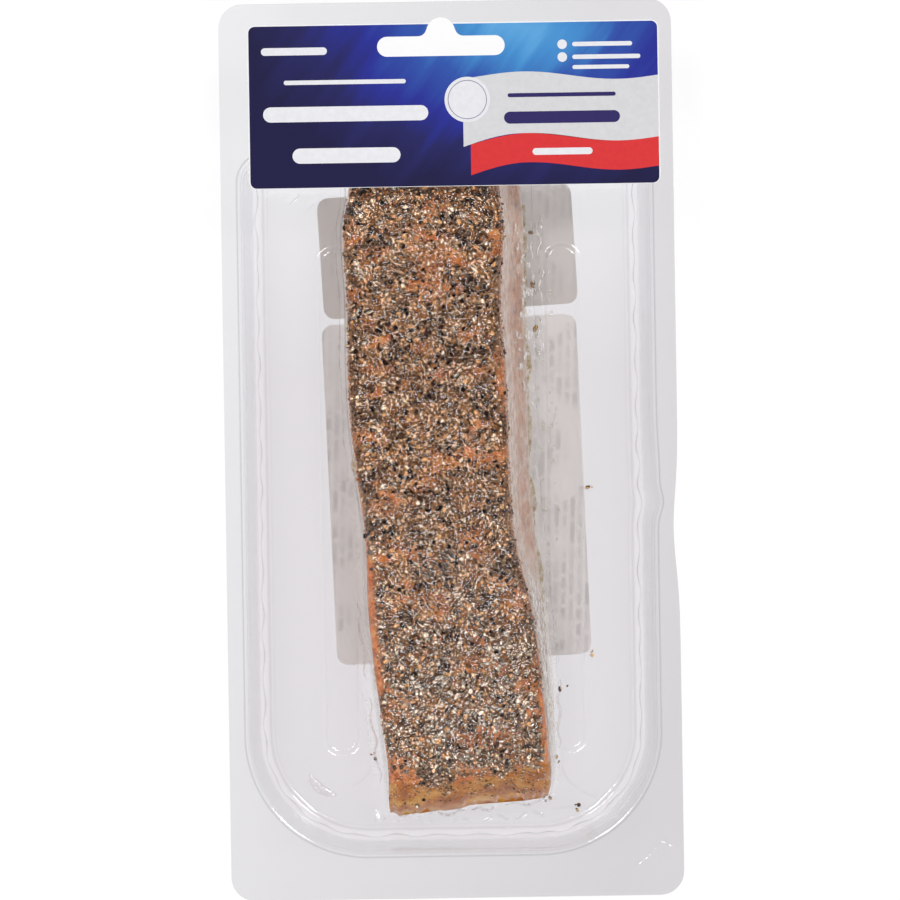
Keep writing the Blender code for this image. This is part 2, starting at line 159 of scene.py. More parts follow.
# Where flesh shows through the crust: centre, half length and half width in mm, and turn in degrees
BARE_PATCHES = (
    (-3.9, 60.5, 2.5, 2.8, 0),
    (-4.0, 53.5, 5.0, 1.3, -5),
    (-9.3, 50.3, 2.2, 0.9, 10),
    (11.8, 53.8, 3.4, 1.8, 12),
    (1.2, 48.2, 4.2, 1.9, -25),
    (-23.6, 52.4, 2.2, 1.5, 20),
    (-8.6, 41.2, 3.8, 1.2, 8),
    (0.8, 40.4, 3.4, 1.5, -5),
    (12.8, 17.0, 8.5, 1.0, 96),
    (11.6, -1.6, 2.4, 1.1, 0),
    (-17.4, 27.7, 4.0, 1.1, 25),
    (-3.3, 18.5, 3.0, 1.1, 0),
    (-18.6, 14.7, 3.0, 1.1, 20),
    (4.9, -0.9, 3.2, 1.4, 5),
    (6.8, 5.8, 2.2, 1.2, 20),
    (-16.0, -11.1, 2.9, 1.2, -15),
    (-13.3, -13.1, 1.9, 1.0, 0),
    (-17.7, -27.3, 2.0, 1.3, 0),
    (-11.1, -33.4, 2.2, 1.1, 0),
    (-12.4, -37.7, 2.5, 1.1, 0),
    (15.1, -39.1, 2.6, 0.9, 15),
    (6.0, -47.4, 2.3, 1.1, 0),
    (2.3, -55.1, 3.1, 1.0, 0),
    (17.5, -59.1, 3.0, 1.3, 20),
    (-16.2, -59.6, 2.2, 0.9, 0),
    (7.8, -71.2, 2.3, 2.1, 0),
    (18.7, -66.2, 2.2, 1.0, 25),
    (-14.8, -78.1, 1.9, 2.1, 0),
    (4.7, -80.4, 4.2, 1.0, -5),
)

# Bare strips along the edges of the crust: from Y, to Y and width, in mm
BARE_LEFT_EDGE = (-64.0, -24.0, 2.0)
BARE_RIGHT_EDGE = (-90.0, -57.0, 1.7)

# Grains: how flat the film presses them and how close two may lie, both as shares of their radii, and the
# radius above which they get more faces
GRAIN_FLATNESS = 0.8
GRAIN_CROWDING = 0.66
FINE_GRAIN_RADIUS = 0.46 * MM

# Chips: how uneven their balls are, how stretched, and how deep their flat cuts go, as shares of the radius
CHIP_UNEVENNESS = 0.2
CHIP_STRETCH = (0.72, 1.28)
CUT_DEPTHS = (0.12, 0.8)

# Dust of pepper where the crust is bare: how many places are tried, and radii in mm
DUST_TRIES = 16000
DUST_RADII = (0.09, 0.24)

# Map from above of the film over the grains: its cell, low corner and size, and its drape's reach in cells
MAP_CELL = 0.15 * MM
MAP_LOW = (-31.0 * MM, -94.0 * MM)
MAP_SIZE = (62.0 * MM, 165.0 * MM)
DRAPE_REACH = 6

# Film on the fillet: its slack and its clearance off the flank, the wobble of its foot, its crinkles, the
# gap over the grains at which it turns milky, its foot off the tail, and its sag towards the head wall
FILM_SLACK = 0.25 * MM
FLANK_CLEARANCE = 0.22 * MM
FOOT_WOBBLE = 0.45 * MM
CRINKLE = 0.10 * MM
EDGE_MARGIN = 0.3 * MM
MILKY_GAP = 0.16 * MM
TAIL_SLOPE_Y = -86 * MM
TAIL_FOOT = 1.4 * MM
TAIL_FOOT_WOBBLE = 1.0 * MM
BRIDGE_SAG = 0.9 * MM
WALL_GAP = 0.05 * MM

# Rings where the film leaves the wall: drop in mm, share of the wave, and painted shade along the fold
CONTACT_RINGS = ((0.35, 0.8, 0.1), (0.7, 1.0, 0.62), (1.1, 0.93, 0.1))

# Oil under the film: the height of its pools, its gap to the tray, and its drops right of the fillet with
# their Y, their distance off its foot and their radii in mm
OIL_DOME = 0.16 * MM
OIL_GAP = 0.03 * MM
OIL_DROPS = 55
DROP_Y = (-30.0, 60.0)
DROP_OFF_FOOT = (2.2, 7.0)
DROP_RADII = (0.25, 0.8)

# Crumbs of pepper that lie loose beside the fillet: how many to a place, their spread, radii and places
CRUMBS_PER_PLACE = 3
CRUMB_SPREAD = 0.5 * MM
CRUMB_RADII = (0.28, 0.62)
LOOSE_CRUMBS = (
    (34.8, -10.4),
    (22.6, -43.2),
    (34.7, -51.9),
    (25.6, -78.7),
    (20.6, 54.6),
    (20.9, 41.0),
    (21.4, 30.5),
    (-20.4, -77.0),
    (27.0, -60.5),
    (22.9, -88.4),
    (30.0, -91.0),
)

# Folds in the film on the flange and the floor: from, to, sideways bow, height and half width, in mm
FILM_FOLDS = (
    (52.5, -96.5, 41.5, -106.5, 0.8, 0.09, 0.5),
    (51.0, -98.4, 53.0, -99.8, 0.3, 0.16, 0.6),
    (-37.2, 65.6, -40.4, 62.6, 0.5, 0.18, 0.6),
    (-32.0, 63.4, -36.0, 60.2, -0.4, 0.10, 0.6),
    (23.4, -91.4, 39.0, -92.6, 1.2, 0.12, 0.6),
    (27.0, -77.5, 31.0, -86.0, -1.8, 0.12, 0.6),
    (31.0, -86.0, 38.0, -87.6, -1.2, 0.10, 0.6),
    (-21.0, -79.0, -26.5, -84.5, 1.0, 0.10, 0.6),
    (30.5, -29.0, 33.2, -27.8, 0.5, 0.12, 0.6),
    (22.8, 59.0, 23.6, 45.0, 0.9, 0.25, 0.6),
    (25.2, 52.0, 24.2, 38.0, -0.7, 0.22, 0.6),
    (23.4, 33.0, 23.0, 20.0, 0.6, 0.18, 0.6),
    (-16.2, -93.8, -12.8, -95.8, 0.2, 0.20, 0.7),
    (-11.8, -95.6, -8.4, -93.7, -0.2, 0.20, 0.7),
    (-7.4, -93.7, -4.2, -95.4, 0.2, 0.20, 0.7),
    (-3.2, -95.1, 0.2, -93.2, -0.2, 0.20, 0.7),
    (1.2, -93.2, 4.6, -94.8, 0.2, 0.20, 0.7),
    (5.6, -94.5, 9.0, -92.6, -0.2, 0.20, 0.7),
    (10.0, -92.5, 13.4, -94.0, 0.2, 0.20, 0.7),
    (14.4, -93.6, 17.8, -91.7, -0.2, 0.20, 0.7),
    (18.8, -91.6, 22.2, -93.2, 0.2, 0.20, 0.7),
)

# Rolled folds of the film on the floor: from, to, sideways wave, its turns, height and half width, in mm
FILM_CURLS = (
    (-37.3, -81.3, -30.2, -86.9, -1.2, 0.5, 0.5, 1.2),
    (-17.4, -91.4, -10.6, -92.3, 0.5, 1.5, 0.55, 0.45),
    (-7.2, -92.0, 2.6, -91.5, 0.6, 1.5, 0.6, 0.5),
    (3.4, -91.4, 9.6, -90.5, 0.5, 1.0, 0.5, 0.4),
    (12.0, -90.2, 23.8, -89.0, 0.4, 1.5, 0.4, 0.35),
    (22.6, 60.0, 23.2, 48.0, 0.4, 2.0, 0.6, 0.45),
    (23.6, 46.0, 23.0, 36.0, 0.5, 1.5, 0.6, 0.5),
    (22.9, 33.0, 22.8, 22.0, 0.4, 2.0, 0.5, 0.35),
    (25.0, -40.0, 26.2, -54.0, 0.3, 1.5, 0.4, 0.35),
    (26.4, -58.0, 26.0, -76.0, 0.4, 2.5, 0.5, 0.4),
    (-24.4, -38.0, -22.2, -58.0, 0.4, 2.0, 0.4, 0.35),
    (-21.8, -62.0, -19.2, -84.0, 0.5, 2.5, 0.5, 0.4),
)

# Print on the header label: bars by left, right, bottom and top in mm, the disc, and its layers' heights
PALE_BARS = (
    (-45.7, -4.4, 82.4, 86.2),
    (-38.5, -11.5, 72.0, 75.8),
    (-40.4, -9.9, 91.7, 92.8),
    (-46.0, -29.5, 99.1, 101.0),
    (31.8, 46.8, 100.3, 101.4),
    (31.8, 48.8, 97.1, 98.2),
    (31.8, 46.0, 94.6, 95.6),
    (28.1, 30.5, 99.65, 102.05),
    (28.1, 30.5, 96.45, 98.85),
    (21.5, 36.5, 73.3, 75.0),
)
DEEP_BARS = ((15.5, 42.5, 87.8, 88.8), (14.5, 43.5, 81.2, 84.2))
DISC_X = 5.4 * MM
DISC_Y = 87.4 * MM
DISC_RADII = (5.7, 4.9, 4.7)
STOCK_THICKNESS = 0.12 * MM
PRINT_STEP = 0.02 * MM

# Share of the light that the paper of the back labels lets through
PAPER_TRANSLUCENCE = 0.7

# Studio: softboxes by azimuth, tilt and radiance, all of one size and distance, in metres; then the camera,
# high up with a long lens, for a view with little perspective
SOFTBOXES = (
    ("softbox_head_right", 44, 32, 19.0),
    ("softbox_head_left", -42, 30, 17.0),
    ("softbox_foot_left", -148, 34, 19.0),
    ("softbox_foot_right", 146, 32, 15.0),
)
SOFTBOX_DISTANCE = 1.3
SOFTBOX_SIDE = 0.27
FLOOR_GAP = 0.2 * MM
VIEW_WIDTH = 225 * MM
CAMERA_HEIGHT = 2.4
CAMERA_TURN = math.radians(-0.9)
SENSOR_WIDTH = 36


def linear(hex_colour):
    """Linear RGBA of an sRGB hex colour."""
    channels = [int(hex_colour[i : i + 2], 16) / 255 for i in (1, 3, 5)]
    return (*(c / 12.92 if c <= 0.04045 else ((c + 0.055) / 1.055) ** 2.4 for c in channels), 1.0)


def length_property(name, description, default):
    """A length in the scene's settings."""
    return FloatProperty(name=name, description=description, default=default, unit="LENGTH")


def colour_property(name, description, hex_colour):
    """A colour in the scene's settings."""
    colour = linear(hex_colour)
    return FloatVectorProperty(
        name=name, description=description, default=colour, subtype="COLOR", size=4, min=0, max=1
    )


class SalmonPackFilm(bpy.types.PropertyGroup):
    """Sizes of the clear tray and the skin film."""

    sheet: length_property("Sheet", "Thickness of the thermoformed sheet", FLANGE_THICKNESS)
    flare: length_property("Flare", "How far the film's foot stands off the flank", 1.9 * MM)
    tail_flare: length_property("Tail flare", "The same on the left of the tail", 4.2 * MM)
    contact_height: length_property("Contact height", "How high up the wall the film leaves it", 8.0 * MM)
    contact_wave: length_property("Contact wave", "Height of the waves in that line", 0.5 * MM)
    contact_pitch: length_property("Contact pitch", "Length of one wave", 10.5 * MM)
    drape: length_property("Drape", "Tightest radius that the film takes over the grains", 0.4 * MM)
    clearance: length_property("Clearance", "Film's distance off the grains", 0.05 * MM)


class SalmonPackPepper(bpy.types.PropertyGroup):
    """Counts and sizes of the cracked pepper."""

    grains: IntProperty(name="Grains", description="Most grains laid on the crust", default=17000, min=100)
    smallest: length_property("Smallest", "Radius of the smallest grain", 0.2 * MM)
    largest: length_property("Largest", "Radius of the largest grain", 0.84 * MM)
    seed: IntProperty(name="Seed", description="Seed of all random draws", default=7, min=0)


class SalmonPackColours(bpy.types.PropertyGroup):
    """Colours matched to the pack."""

    navy: colour_property("Navy", "Ink of the header label", "#28285F")
    glow: colour_property("Glow", "Light patch in the header label", "#62A8DC")
    silver: colour_property("Silver", "Pale field of the header label", "#D4D4D6")
    red: colour_property("Red", "Red field of the header label", "#D8393B")
    flesh: colour_property("Flesh", "Smoked flesh between the grains", "#E0803E")
    flank: colour_property("Flank", "Flesh of the cut flanks", "#E8D3C4")
    tail: colour_property("Tail", "Flesh of the tail's slope", "#C87C1E")
    husk: colour_property("Husk", "Black pepper husk", "#28150C")
    core: colour_property("Core", "Broken pepper core", "#E6B68A")
    brown: colour_property("Brown", "Grains soaked with oil", "#AC7044")


def add_node(tree, kind, inputs=None, stops=None, out=0, **settings):
    """Adds a node with its inputs, set or linked, a ramp's stops and its settings, and gives one output."""
    node = tree.nodes.new("ShaderNode" + kind)
    for key, value in settings.items():
        setattr(node, key, value)
    for key, value in (inputs or {}).items():
        if isinstance(value, bpy.types.NodeSocket):
            tree.links.new(value, node.inputs[key])
        else:
            node.inputs[key].default_value = linear(value) if isinstance(value, str) else value
    if stops:
        elements = node.color_ramp.elements
        while len(elements) < len(stops):
            elements.new(0.5)
        for element, (position, colour) in zip(elements, stops):
            element.position = position
            element.color = linear(colour) if isinstance(colour, str) else colour
    return node.outputs[out]


def new_material(name):
    """An empty node material, its tree and the surface that it shows."""
    material = bpy.data.materials.new(name)
    material.use_nodes = True
    tree = material.node_tree
    tree.nodes.clear()
    return material, tree, tree.nodes.new("ShaderNodeOutputMaterial").inputs["Surface"]


def smooth(t):
    """A soft step from 0 to 1."""
    t = np.clip(t, 0.0, 1.0)
    return t * t * (3.0 - 2.0 * t)


def noise_field(x, y, scale, shift=0.0):
    """Smooth noise at points in metres, from about -1 to 1, with features of the given size."""
    xs, ys = np.broadcast_arrays(x, y)
    values = [
        noise.noise(Vector((a / scale + shift, b / scale, 0.0))) for a, b in zip(xs.ravel(), ys.ravel())
    ]
    return np.array(values).reshape(xs.shape)


def new_mesh(name, points, face_groups, attributes=None):
    """A mesh from points and arrays of faces, with float attributes on its points."""
    corners = np.concatenate([np.ravel(group) for group in face_groups]).astype(np.int32)
    sizes = np.concatenate([np.full(len(group), group.shape[1]) for group in face_groups])
    mesh = bpy.data.meshes.new(name)
    mesh.vertices.add(len(points))
    mesh.vertices.foreach_set("co", np.asarray(points, np.float32).ravel())
    mesh.loops.add(len(corners))
    mesh.loops.foreach_set("vertex_index", corners)
    mesh.polygons.add(len(sizes))
    starts = np.concatenate([[0], np.cumsum(sizes)[:-1]]).astype(np.int32)
    mesh.polygons.foreach_set("loop_start", starts)
    mesh.update(calc_edges=True)
    for key, values in (attributes or {}).items():
        layer = mesh.attributes.new(key, "FLOAT", "POINT")
        layer.data.foreach_set("value", np.asarray(values, np.float32).ravel())
    return mesh


def weld(mesh, distance=4e-6, upward=True):
    """Joins points that coincide and turns the faces alike, on the whole facing up."""
    bm = bmesh.new()
    bm.from_mesh(mesh)
    bmesh.ops.remove_doubles(bm, verts=bm.verts, dist=distance)
    bmesh.ops.recalc_face_normals(bm, faces=bm.faces)
    lean = sum(face.normal.z * face.calc_area() for face in bm.faces)
    if upward and lean < 0:
        bmesh.ops.reverse_faces(bm, faces=bm.faces)
    for edge in bm.edges:
        if edge.is_boundary:
            edge.smooth = False
    bm.to_mesh(mesh)
    bm.free()
    return mesh


def place_piece(name, mesh, material, replaces=(), smooth_shade=True):
    """Links a piece, gives it its finish, and makes it ride on the pack."""
    mesh.materials.append(material)
    if smooth_shade:
        mesh.shade_smooth()
    piece = bpy.data.objects.new(name, mesh)
    bpy.context.scene.collection.objects.link(piece)
    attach(piece, "root")
    if replaces:
        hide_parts(*replaces)
    return piece


def grid_faces(rows, columns, wrap=False):
    """Quads of a grid of points in rows, the columns closed to a ring where asked."""
    across = columns if wrap else columns - 1
    row, column = np.meshgrid(np.arange(rows - 1), np.arange(across), indexing="ij")
    here, above = row * columns, (row + 1) * columns
    beside = (column + 1) % columns
    quads = np.stack([here + column, here + beside, above + beside, above + column], axis=-1)
    return quads.reshape(-1, 4)


def arc(centre_x, centre_y, radius, start, end, steps):
    """Points on an arc, with its two ends, from one angle in degrees to another."""
    angles = np.radians(np.linspace(start, end, steps + 1))
    return np.column_stack([centre_x + radius * np.cos(angles), centre_y + radius * np.sin(angles)])


def rounded_box(left, right, bottom, top, radii, arc_steps, side_steps):
    """A rectangle with round corners, from its bottom right one; radii and steps are bottom, then top."""
    low, high = radii
    corners = [
        arc(right - low, bottom + low, low, 270, 360, arc_steps[0]),
        arc(right - high, top - high, high, 0, 90, arc_steps[1]),
        arc(left + high, top - high, high, 90, 180, arc_steps[1]),
        arc(left + low, bottom + low, low, 180, 270, arc_steps[0]),
    ]
    outline = []
    for i, (corner, steps) in enumerate(zip(corners, side_steps)):
        ahead = corners[(i + 1) % 4][0]
        share = np.linspace(0.0, 1.0, steps + 1)[1:-1, None]
        outline += [corner, corner[-1] + share * (ahead - corner[-1])]
    return np.concatenate(outline)


def pack_outline():
    """The die cut outline, whose right side is dented."""
    radius = PACK_CORNER_RADIUS
    outline = rounded_box(
        -PACK_HALF_WIDTH,
        PACK_HALF_WIDTH,
        -PACK_HALF_LENGTH,
        PACK_HALF_LENGTH,
        (radius, radius),
        (10, 10),
        (90, 40, 60, 40),
    )
    dent = DENT_DEPTH * np.exp(-(((outline[:, 1] - DENT_Y) / DENT_SPREAD) ** 2))
    outline[:, 0] -= np.where(outline[:, 0] > 0.9 * PACK_HALF_WIDTH, dent, 0.0)
    return outline


def slot_outline():
    """The hang slot: a bar with rounded ends and a hump on its middle."""
    end_radius = SLOT_BAR_HEIGHT / 2
    half_bar = SLOT_WIDTH / 2 - end_radius
    middle_y = SLOT_LOW_Y + end_radius
    bar_top = SLOT_LOW_Y + SLOT_BAR_HEIGHT
    flare_x = HUMP_RADIUS + HUMP_FLARE
    return np.concatenate(
        [
            arc(SLOT_X + half_bar, middle_y, end_radius, -90, 90, 20),
            arc(SLOT_X + flare_x, bar_top + HUMP_FLARE, HUMP_FLARE, 270, 180, 8),
            arc(SLOT_X, SLOT_TOP_Y - HUMP_RADIUS, HUMP_RADIUS, 0, 180, 24)[1:-1],
            arc(SLOT_X - flare_x, bar_top + HUMP_FLARE, HUMP_FLARE, 0, -90, 8),
            arc(SLOT_X - half_bar, middle_y, end_radius, 90, 270, 20),
        ]
    )


def well_outline(inset):
    """The well's outline at a distance inside its rim."""
    return rounded_box(
        WELL_LEFT + inset,
        WELL_RIGHT - inset,
        WELL_BOTTOM + inset,
        WELL_TOP - inset,
        (WELL_BOTTOM_RADIUS - inset, WELL_TOP_RADIUS - TOP_RADIUS_LOSS * inset),
        (40, 12),
        (120, 70, 120, 34),
    )


def kinked(points, height):
    """The right wall's outline pushed out where the pack was bumped, most at the rim."""
    x, y = points[:, 0], points[:, 1]
    bump = np.exp(-(((y - KINK_Y) / KINK_SPREAD) ** 2))
    bump += 0.5 * np.exp(-(((y - KINK_Y - KINK_TRAIL) / KINK_TRAIL_SPREAD) ** 2))
    push = KINK_DEPTH * bump * (0.35 + 0.65 * height / FLANGE_TOP)
    return np.column_stack([x + np.where(x > 0.85 * WELL_RIGHT, push, 0.0), y])


def ring_at(outline, z):
    """An outline of the well as a closed ring at one height, with the bump in its right wall."""
    return np.column_stack([kinked(outline, z), np.full(len(outline), z)])


def well_section(clear, wall_steps, stop_above_floor=0.0):
    """Inset and height of the well's face from flange to floor, at a distance off the tray's face."""
    draft = math.degrees(WALL_DRAFT)
    sin_draft = math.sin(WALL_DRAFT)
    wall_top = FLANGE_TOP - RIM_RADIUS * (1 - sin_draft)
    wall_foot = FLOOR_TOP + FLOOR_RADIUS * (1 - sin_draft)
    run = (wall_top - wall_foot) * math.tan(WALL_DRAFT)
    floor_inset = -RIM_RADIUS * (1 - math.cos(WALL_DRAFT)) + run + FLOOR_RADIUS * math.cos(WALL_DRAFT)
    rim = arc(-RIM_RADIUS, FLANGE_TOP - RIM_RADIUS, RIM_RADIUS + clear, 90, draft, RIM_STEPS)
    foot = arc(floor_inset, FLOOR_TOP + FLOOR_RADIUS, FLOOR_RADIUS - clear, 180 + draft, 270, FLOOR_STEPS)
    wall = foot[0] - rim[-1]
    if stop_above_floor:
        drop = (rim[-1][1] - stop_above_floor) / (rim[-1][1] - foot[0][1])
        return np.concatenate([rim, rim[-1] + np.linspace(0, drop, wall_steps + 1)[1:, None] * wall])
    return np.concatenate([rim, rim[-1] + np.linspace(0.0, 1.0, wall_steps + 1)[1:-1, None] * wall, foot])


def rib_height(x, y):
    """Height of the ribs that are pressed up into the floor."""
    height = np.zeros(np.broadcast(x, y).shape)
    for side in (-1, 1):
        middle_y = np.clip(y, RIB_LOW_Y + RIB_HALF_WIDTH, RIB_HIGH_Y - RIB_HALF_WIDTH)
        distance = np.hypot(x - side * RIB_X, y - middle_y)
        slope = smooth((RIB_HALF_WIDTH + RIB_FOOT - distance) / RIB_SLOPE)
        height = np.maximum(height, RIB_HEIGHT * slope)
    return height


def rib_loops():
    """Outlines at the foot, slope and top of both ribs."""
    loops = []
    for side in (-1, 1):
        for half_width in RIB_HALF_WIDTH + RIB_STEPS * MM:
            low = arc(side * RIB_X, RIB_LOW_Y + RIB_HALF_WIDTH, half_width, 180, 360, 20)
            high = arc(side * RIB_X, RIB_HIGH_Y - RIB_HALF_WIDTH, half_width, 0, 180, 20)
            share = np.linspace(0.0, 1.0, 40)[1:-1, None]
            right = low[-1] + share * (high[0] - low[-1])
            left = high[-1] + share * (low[0] - high[-1])
            loops.append(np.concatenate([low, right, high, left]))
    return loops


def rib_crease(x, y):
    """1 on the slope of a rib, 0 elsewhere."""
    height = rib_height(x, y) / RIB_HEIGHT
    return 4.0 * height * (1.0 - height)


def inside(points, outline):
    """Which points lie in a closed outline."""
    x, y = points[:, 0], points[:, 1]
    ahead = np.roll(outline, -1, axis=0)
    found = np.zeros(len(points), bool)
    for (x0, y0), (x1, y1) in zip(outline, ahead):
        if y0 == y1:
            continue
        found ^= ((y0 > y) != (y1 > y)) & (x < (x1 - x0) * (y - y0) / (y1 - y0) + x0)
    return found


def fill_region(outer, holes=(), guides=(), extra=()):
    """Triangles inside an outline and outside its holes, along guide loops and through extra points."""
    coords = []
    edges = []
    for loop in (outer, *holes, *guides):
        first = len(coords)
        coords += [Vector(point) for point in np.asarray(loop) / MM]
        edges += [(first + i, first + (i + 1) % len(loop)) for i in range(len(loop))]
    coords += [Vector(point) for point in np.asarray(extra).reshape(-1, 2) / MM]
    found, _, triangles, *_ = delaunay_2d_cdt(coords, edges, [], 0, 1e-5)
    points = np.array([tuple(v) for v in found]) * MM
    triangles = np.array(triangles)
    centres = points[triangles].mean(axis=1)
    keep = inside(centres, np.asarray(outer))
    for hole in holes:
        keep &= ~inside(centres, np.asarray(hole))
    used, packed = np.unique(triangles[keep], return_inverse=True)
    return points[used], packed.reshape(-1, 3)


def dots(left, right, bottom, top, pitch):
    """Points in staggered rows over a rectangle."""
    rows = np.arange(bottom, top, pitch * 0.87)
    return np.array(
        [(x, y) for i, y in enumerate(rows) for x in np.arange(left + (i % 2) * pitch / 2, right, pitch)]
    )


def join_parts(parts):
    """One set of points, faces and attribute values from several."""
    points, faces, attributes, first = [], [], {}, 0
    for part_points, part_faces, part_attributes in parts:
        points.append(part_points)
        faces += [group + first for group in part_faces]
        for key, values in part_attributes.items():
            attributes.setdefault(key, []).append(values)
        first += len(part_points)
    joined = {key: np.concatenate(values) for key, values in attributes.items()}
    return np.concatenate(points), faces, joined


def stack_rings(rings):
    """Points and quads of closed rings of the same length."""
    return np.concatenate(rings), grid_faces(len(rings), len(rings[0]), wrap=True)


def flange_region(rim_ring, pitch, extra=()):
    """Triangles of the flange: outside a ring round the well and outside the hang slot."""
    spread = dots(-PACK_HALF_WIDTH, PACK_HALF_WIDTH, -PACK_HALF_LENGTH, PACK_HALF_LENGTH, pitch)
    return fill_region(
        pack_outline(), [slot_outline(), rim_ring[:, :2]], extra=np.concatenate([spread, *extra])
    )


def floor_region(floor_ring, pitch, holes=(), extra=()):
    """Triangles of the well's floor within a ring, along its ribs and outside its holes."""
    spread = dots(WELL_LEFT, WELL_RIGHT, WELL_BOTTOM, WELL_TOP, pitch)
    return fill_region(floor_ring[:, :2], holes, rib_loops(), np.concatenate([spread, *extra]))


def tray_surface():
    """Upper face of the sheet: flange, rim, wall, floor corner, floor and ribs, with painted shade along
    its folds.
    """
    section = well_section(0.0, 9)
    rim_guard = [[-RIM_RADIUS - GUARD, FLANGE_TOP]]
    floor_guard = [[section[-1][0] + GUARD, FLOOR_TOP]]
    section = np.concatenate([rim_guard, section, floor_guard])
    crease_shade_of_ring = np.zeros(len(section))
    # Painted shade: grey lines along the rim, the wall and the floor corner, and on the ribs' slopes
    crease_shade_of_ring[[1, 5, -3]] = (0.20, 0.24, 0.12)
    rings = [ring_at(well_outline(inset), z) for inset, z in section]
    ring_points, ring_faces = stack_rings(rings)
    ring_crease_shade = np.repeat(crease_shade_of_ring, len(rings[0]))
    flange_xy, flange_faces = flange_region(rings[0], 6 * MM)
    flange_points = np.column_stack([flange_xy, np.full(len(flange_xy), FLANGE_TOP)])
    floor_xy, floor_faces = floor_region(rings[-1], 5 * MM)
    floor_points = np.column_stack([floor_xy, FLOOR_TOP + rib_height(*floor_xy.T)])
    return join_parts(
        [
            (ring_points, [ring_faces], {"crease_shade": ring_crease_shade}),
            (flange_points, [flange_faces], {"crease_shade": np.zeros(len(flange_xy))}),
            (floor_points, [floor_faces], {"crease_shade": 0.10 * rib_crease(*floor_xy.T)}),
        ]
    )


def stations(y):
    """Left, right, foot and thickness of the fillet at Y, by a smooth curve through its stations."""
    table = np.array(FILLET_STATIONS)
    keys = table[:, 0]
    y_mm = np.clip(np.asarray(y) / MM, keys[0], keys[-1])
    i = np.clip(np.searchsorted(keys, y_mm, side="right") - 1, 0, len(keys) - 2)
    before, low, high, after = (table[np.clip(i + step, 0, len(keys) - 1)] for step in (-1, 0, 1, 2))
    span = (high - low)[:, :1]
    t = (y_mm[:, None] - low[:, :1]) / span
    slope_low = (high - before) / (high - before)[:, :1] * span
    slope_high = (after - low) / (after - low)[:, :1] * span
    blend = (
        (2 * t**3 - 3 * t**2 + 1) * low
        + (t**3 - 2 * t**2 + t) * slope_low
        + (3 * t**2 - 2 * t**3) * high
        + (t**3 - t**2) * slope_high
    )
    return blend[:, 1:].T * MM


def rounded_path(corners, radius, corner_steps, straight_steps, closed):
    """Points along a path per row through its rounded corners, and where each corner starts."""
    count = corners.shape[1]
    points, starts, last = [], [], None

    def towards(corner, other):
        reach = np.minimum(radius / np.linalg.norm(other - corner, axis=1), 0.45)
        return corner + (other - corner) * reach[:, None]

    def straight(start, end, steps):
        return [start + share * (end - start) for share in np.linspace(0, 1, steps + 1)[1:-1]]

    for i in range(count):
        corner = corners[:, i]
        open_end = not closed and i in (0, count - 1)
        start = corner if open_end else towards(corner, corners[:, i - 1])
        end = corner if open_end else towards(corner, corners[:, (i + 1) % count])
        if last is not None:
            points += straight(last, start, straight_steps[i - 1])
        starts.append(len(points))
        if open_end:
            points.append(corner)
        else:
            shares = np.linspace(0, 1, corner_steps + 1)
            points += [(1 - t) ** 2 * start + 2 * t * (1 - t) * corner + t**2 * end for t in shares]
        last = end
    if closed:
        points += straight(last, points[0], straight_steps[-1])
    return np.stack(points, axis=1), starts


def section_at(y):
    """The fillet at Y: its stations, the arch of its crust, and the height and radius of its edges."""
    left, right, foot, thickness = stations(y)
    crown = CROWN * np.minimum(1.0, thickness / THIN_CROWN)
    edge = FILLET_BASE + thickness - crown
    radius = EDGE_ROUND * np.minimum(1.0, thickness / THIN_EDGE)
    return left, right, foot, thickness, crown, edge, radius


def corner_rows(*corners):
    """Corners of a path in each row, from the rows' X and Z of every corner."""
    return np.stack([np.stack(corner, axis=1) for corner in corners], axis=1)


def skewed(x, y):
    """Y drawn back towards the right of the tail, whose cut isn't square."""
    near_tail = np.clip((-60 * MM - y) / (28 * MM), 0.0, 1.0)
    end = smooth((-82 * MM - y) / (7 * MM))
    flat = np.zeros(x.shape)
    ragged = 0.6 + 1.1 * noise_field(x, flat, 5 * MM, 8.0) + 0.8 * noise_field(x, flat, 1.7 * MM, 9.0)
    ragged += 1.1 * smooth((4 * MM - x) / (4 * MM))
    return y + END_SKEW * near_tail * (x + 16 * MM) - TAIL_REACH * end * ragged


def crust_relief(x, y, up):
    """Lumps and hollows of the crust, strongest where the surface faces up."""
    broad = noise_field(x, y, 9 * MM)
    fine = noise_field(x + 1.0, y, 3.6 * MM)
    return CRUST_RELIEF * np.maximum(up, 0.0) * (0.65 * broad + 0.6 * fine)


def path_normals(path, closed):
    """Outward normals of paths (rows, points, 2) that run anticlockwise."""
    if closed:
        ahead = np.roll(path, -1, axis=1) - np.roll(path, 1, axis=1)
    else:
        ahead = np.gradient(path, axis=1)
    normals = np.stack([ahead[..., 1], -ahead[..., 0]], axis=-1)
    return normals / np.maximum(np.linalg.norm(normals, axis=-1, keepdims=True), 1e-12)


def add_crown(path, left, right, crown, first, last):
    """Arches the crust between its two edges."""
    stretch = path[:, first:last]
    u = np.clip((right[:, None] - stretch[..., 0]) / (right - left)[:, None], 0.0, 1.0)
    stretch[..., 1] += crown[:, None] * (1 - (2 * u - 1) ** 2)


def row_places(step, last):
    """Y of the rows from the tail, closer near both ends."""
    first = FILLET_STATIONS[0][0] * MM
    t = np.linspace(0.0, 1.0, int(round((last - first) / step)) + 1)
    return first + (last - first) * (t - END_CROWDING * np.sin(2 * math.pi * t))


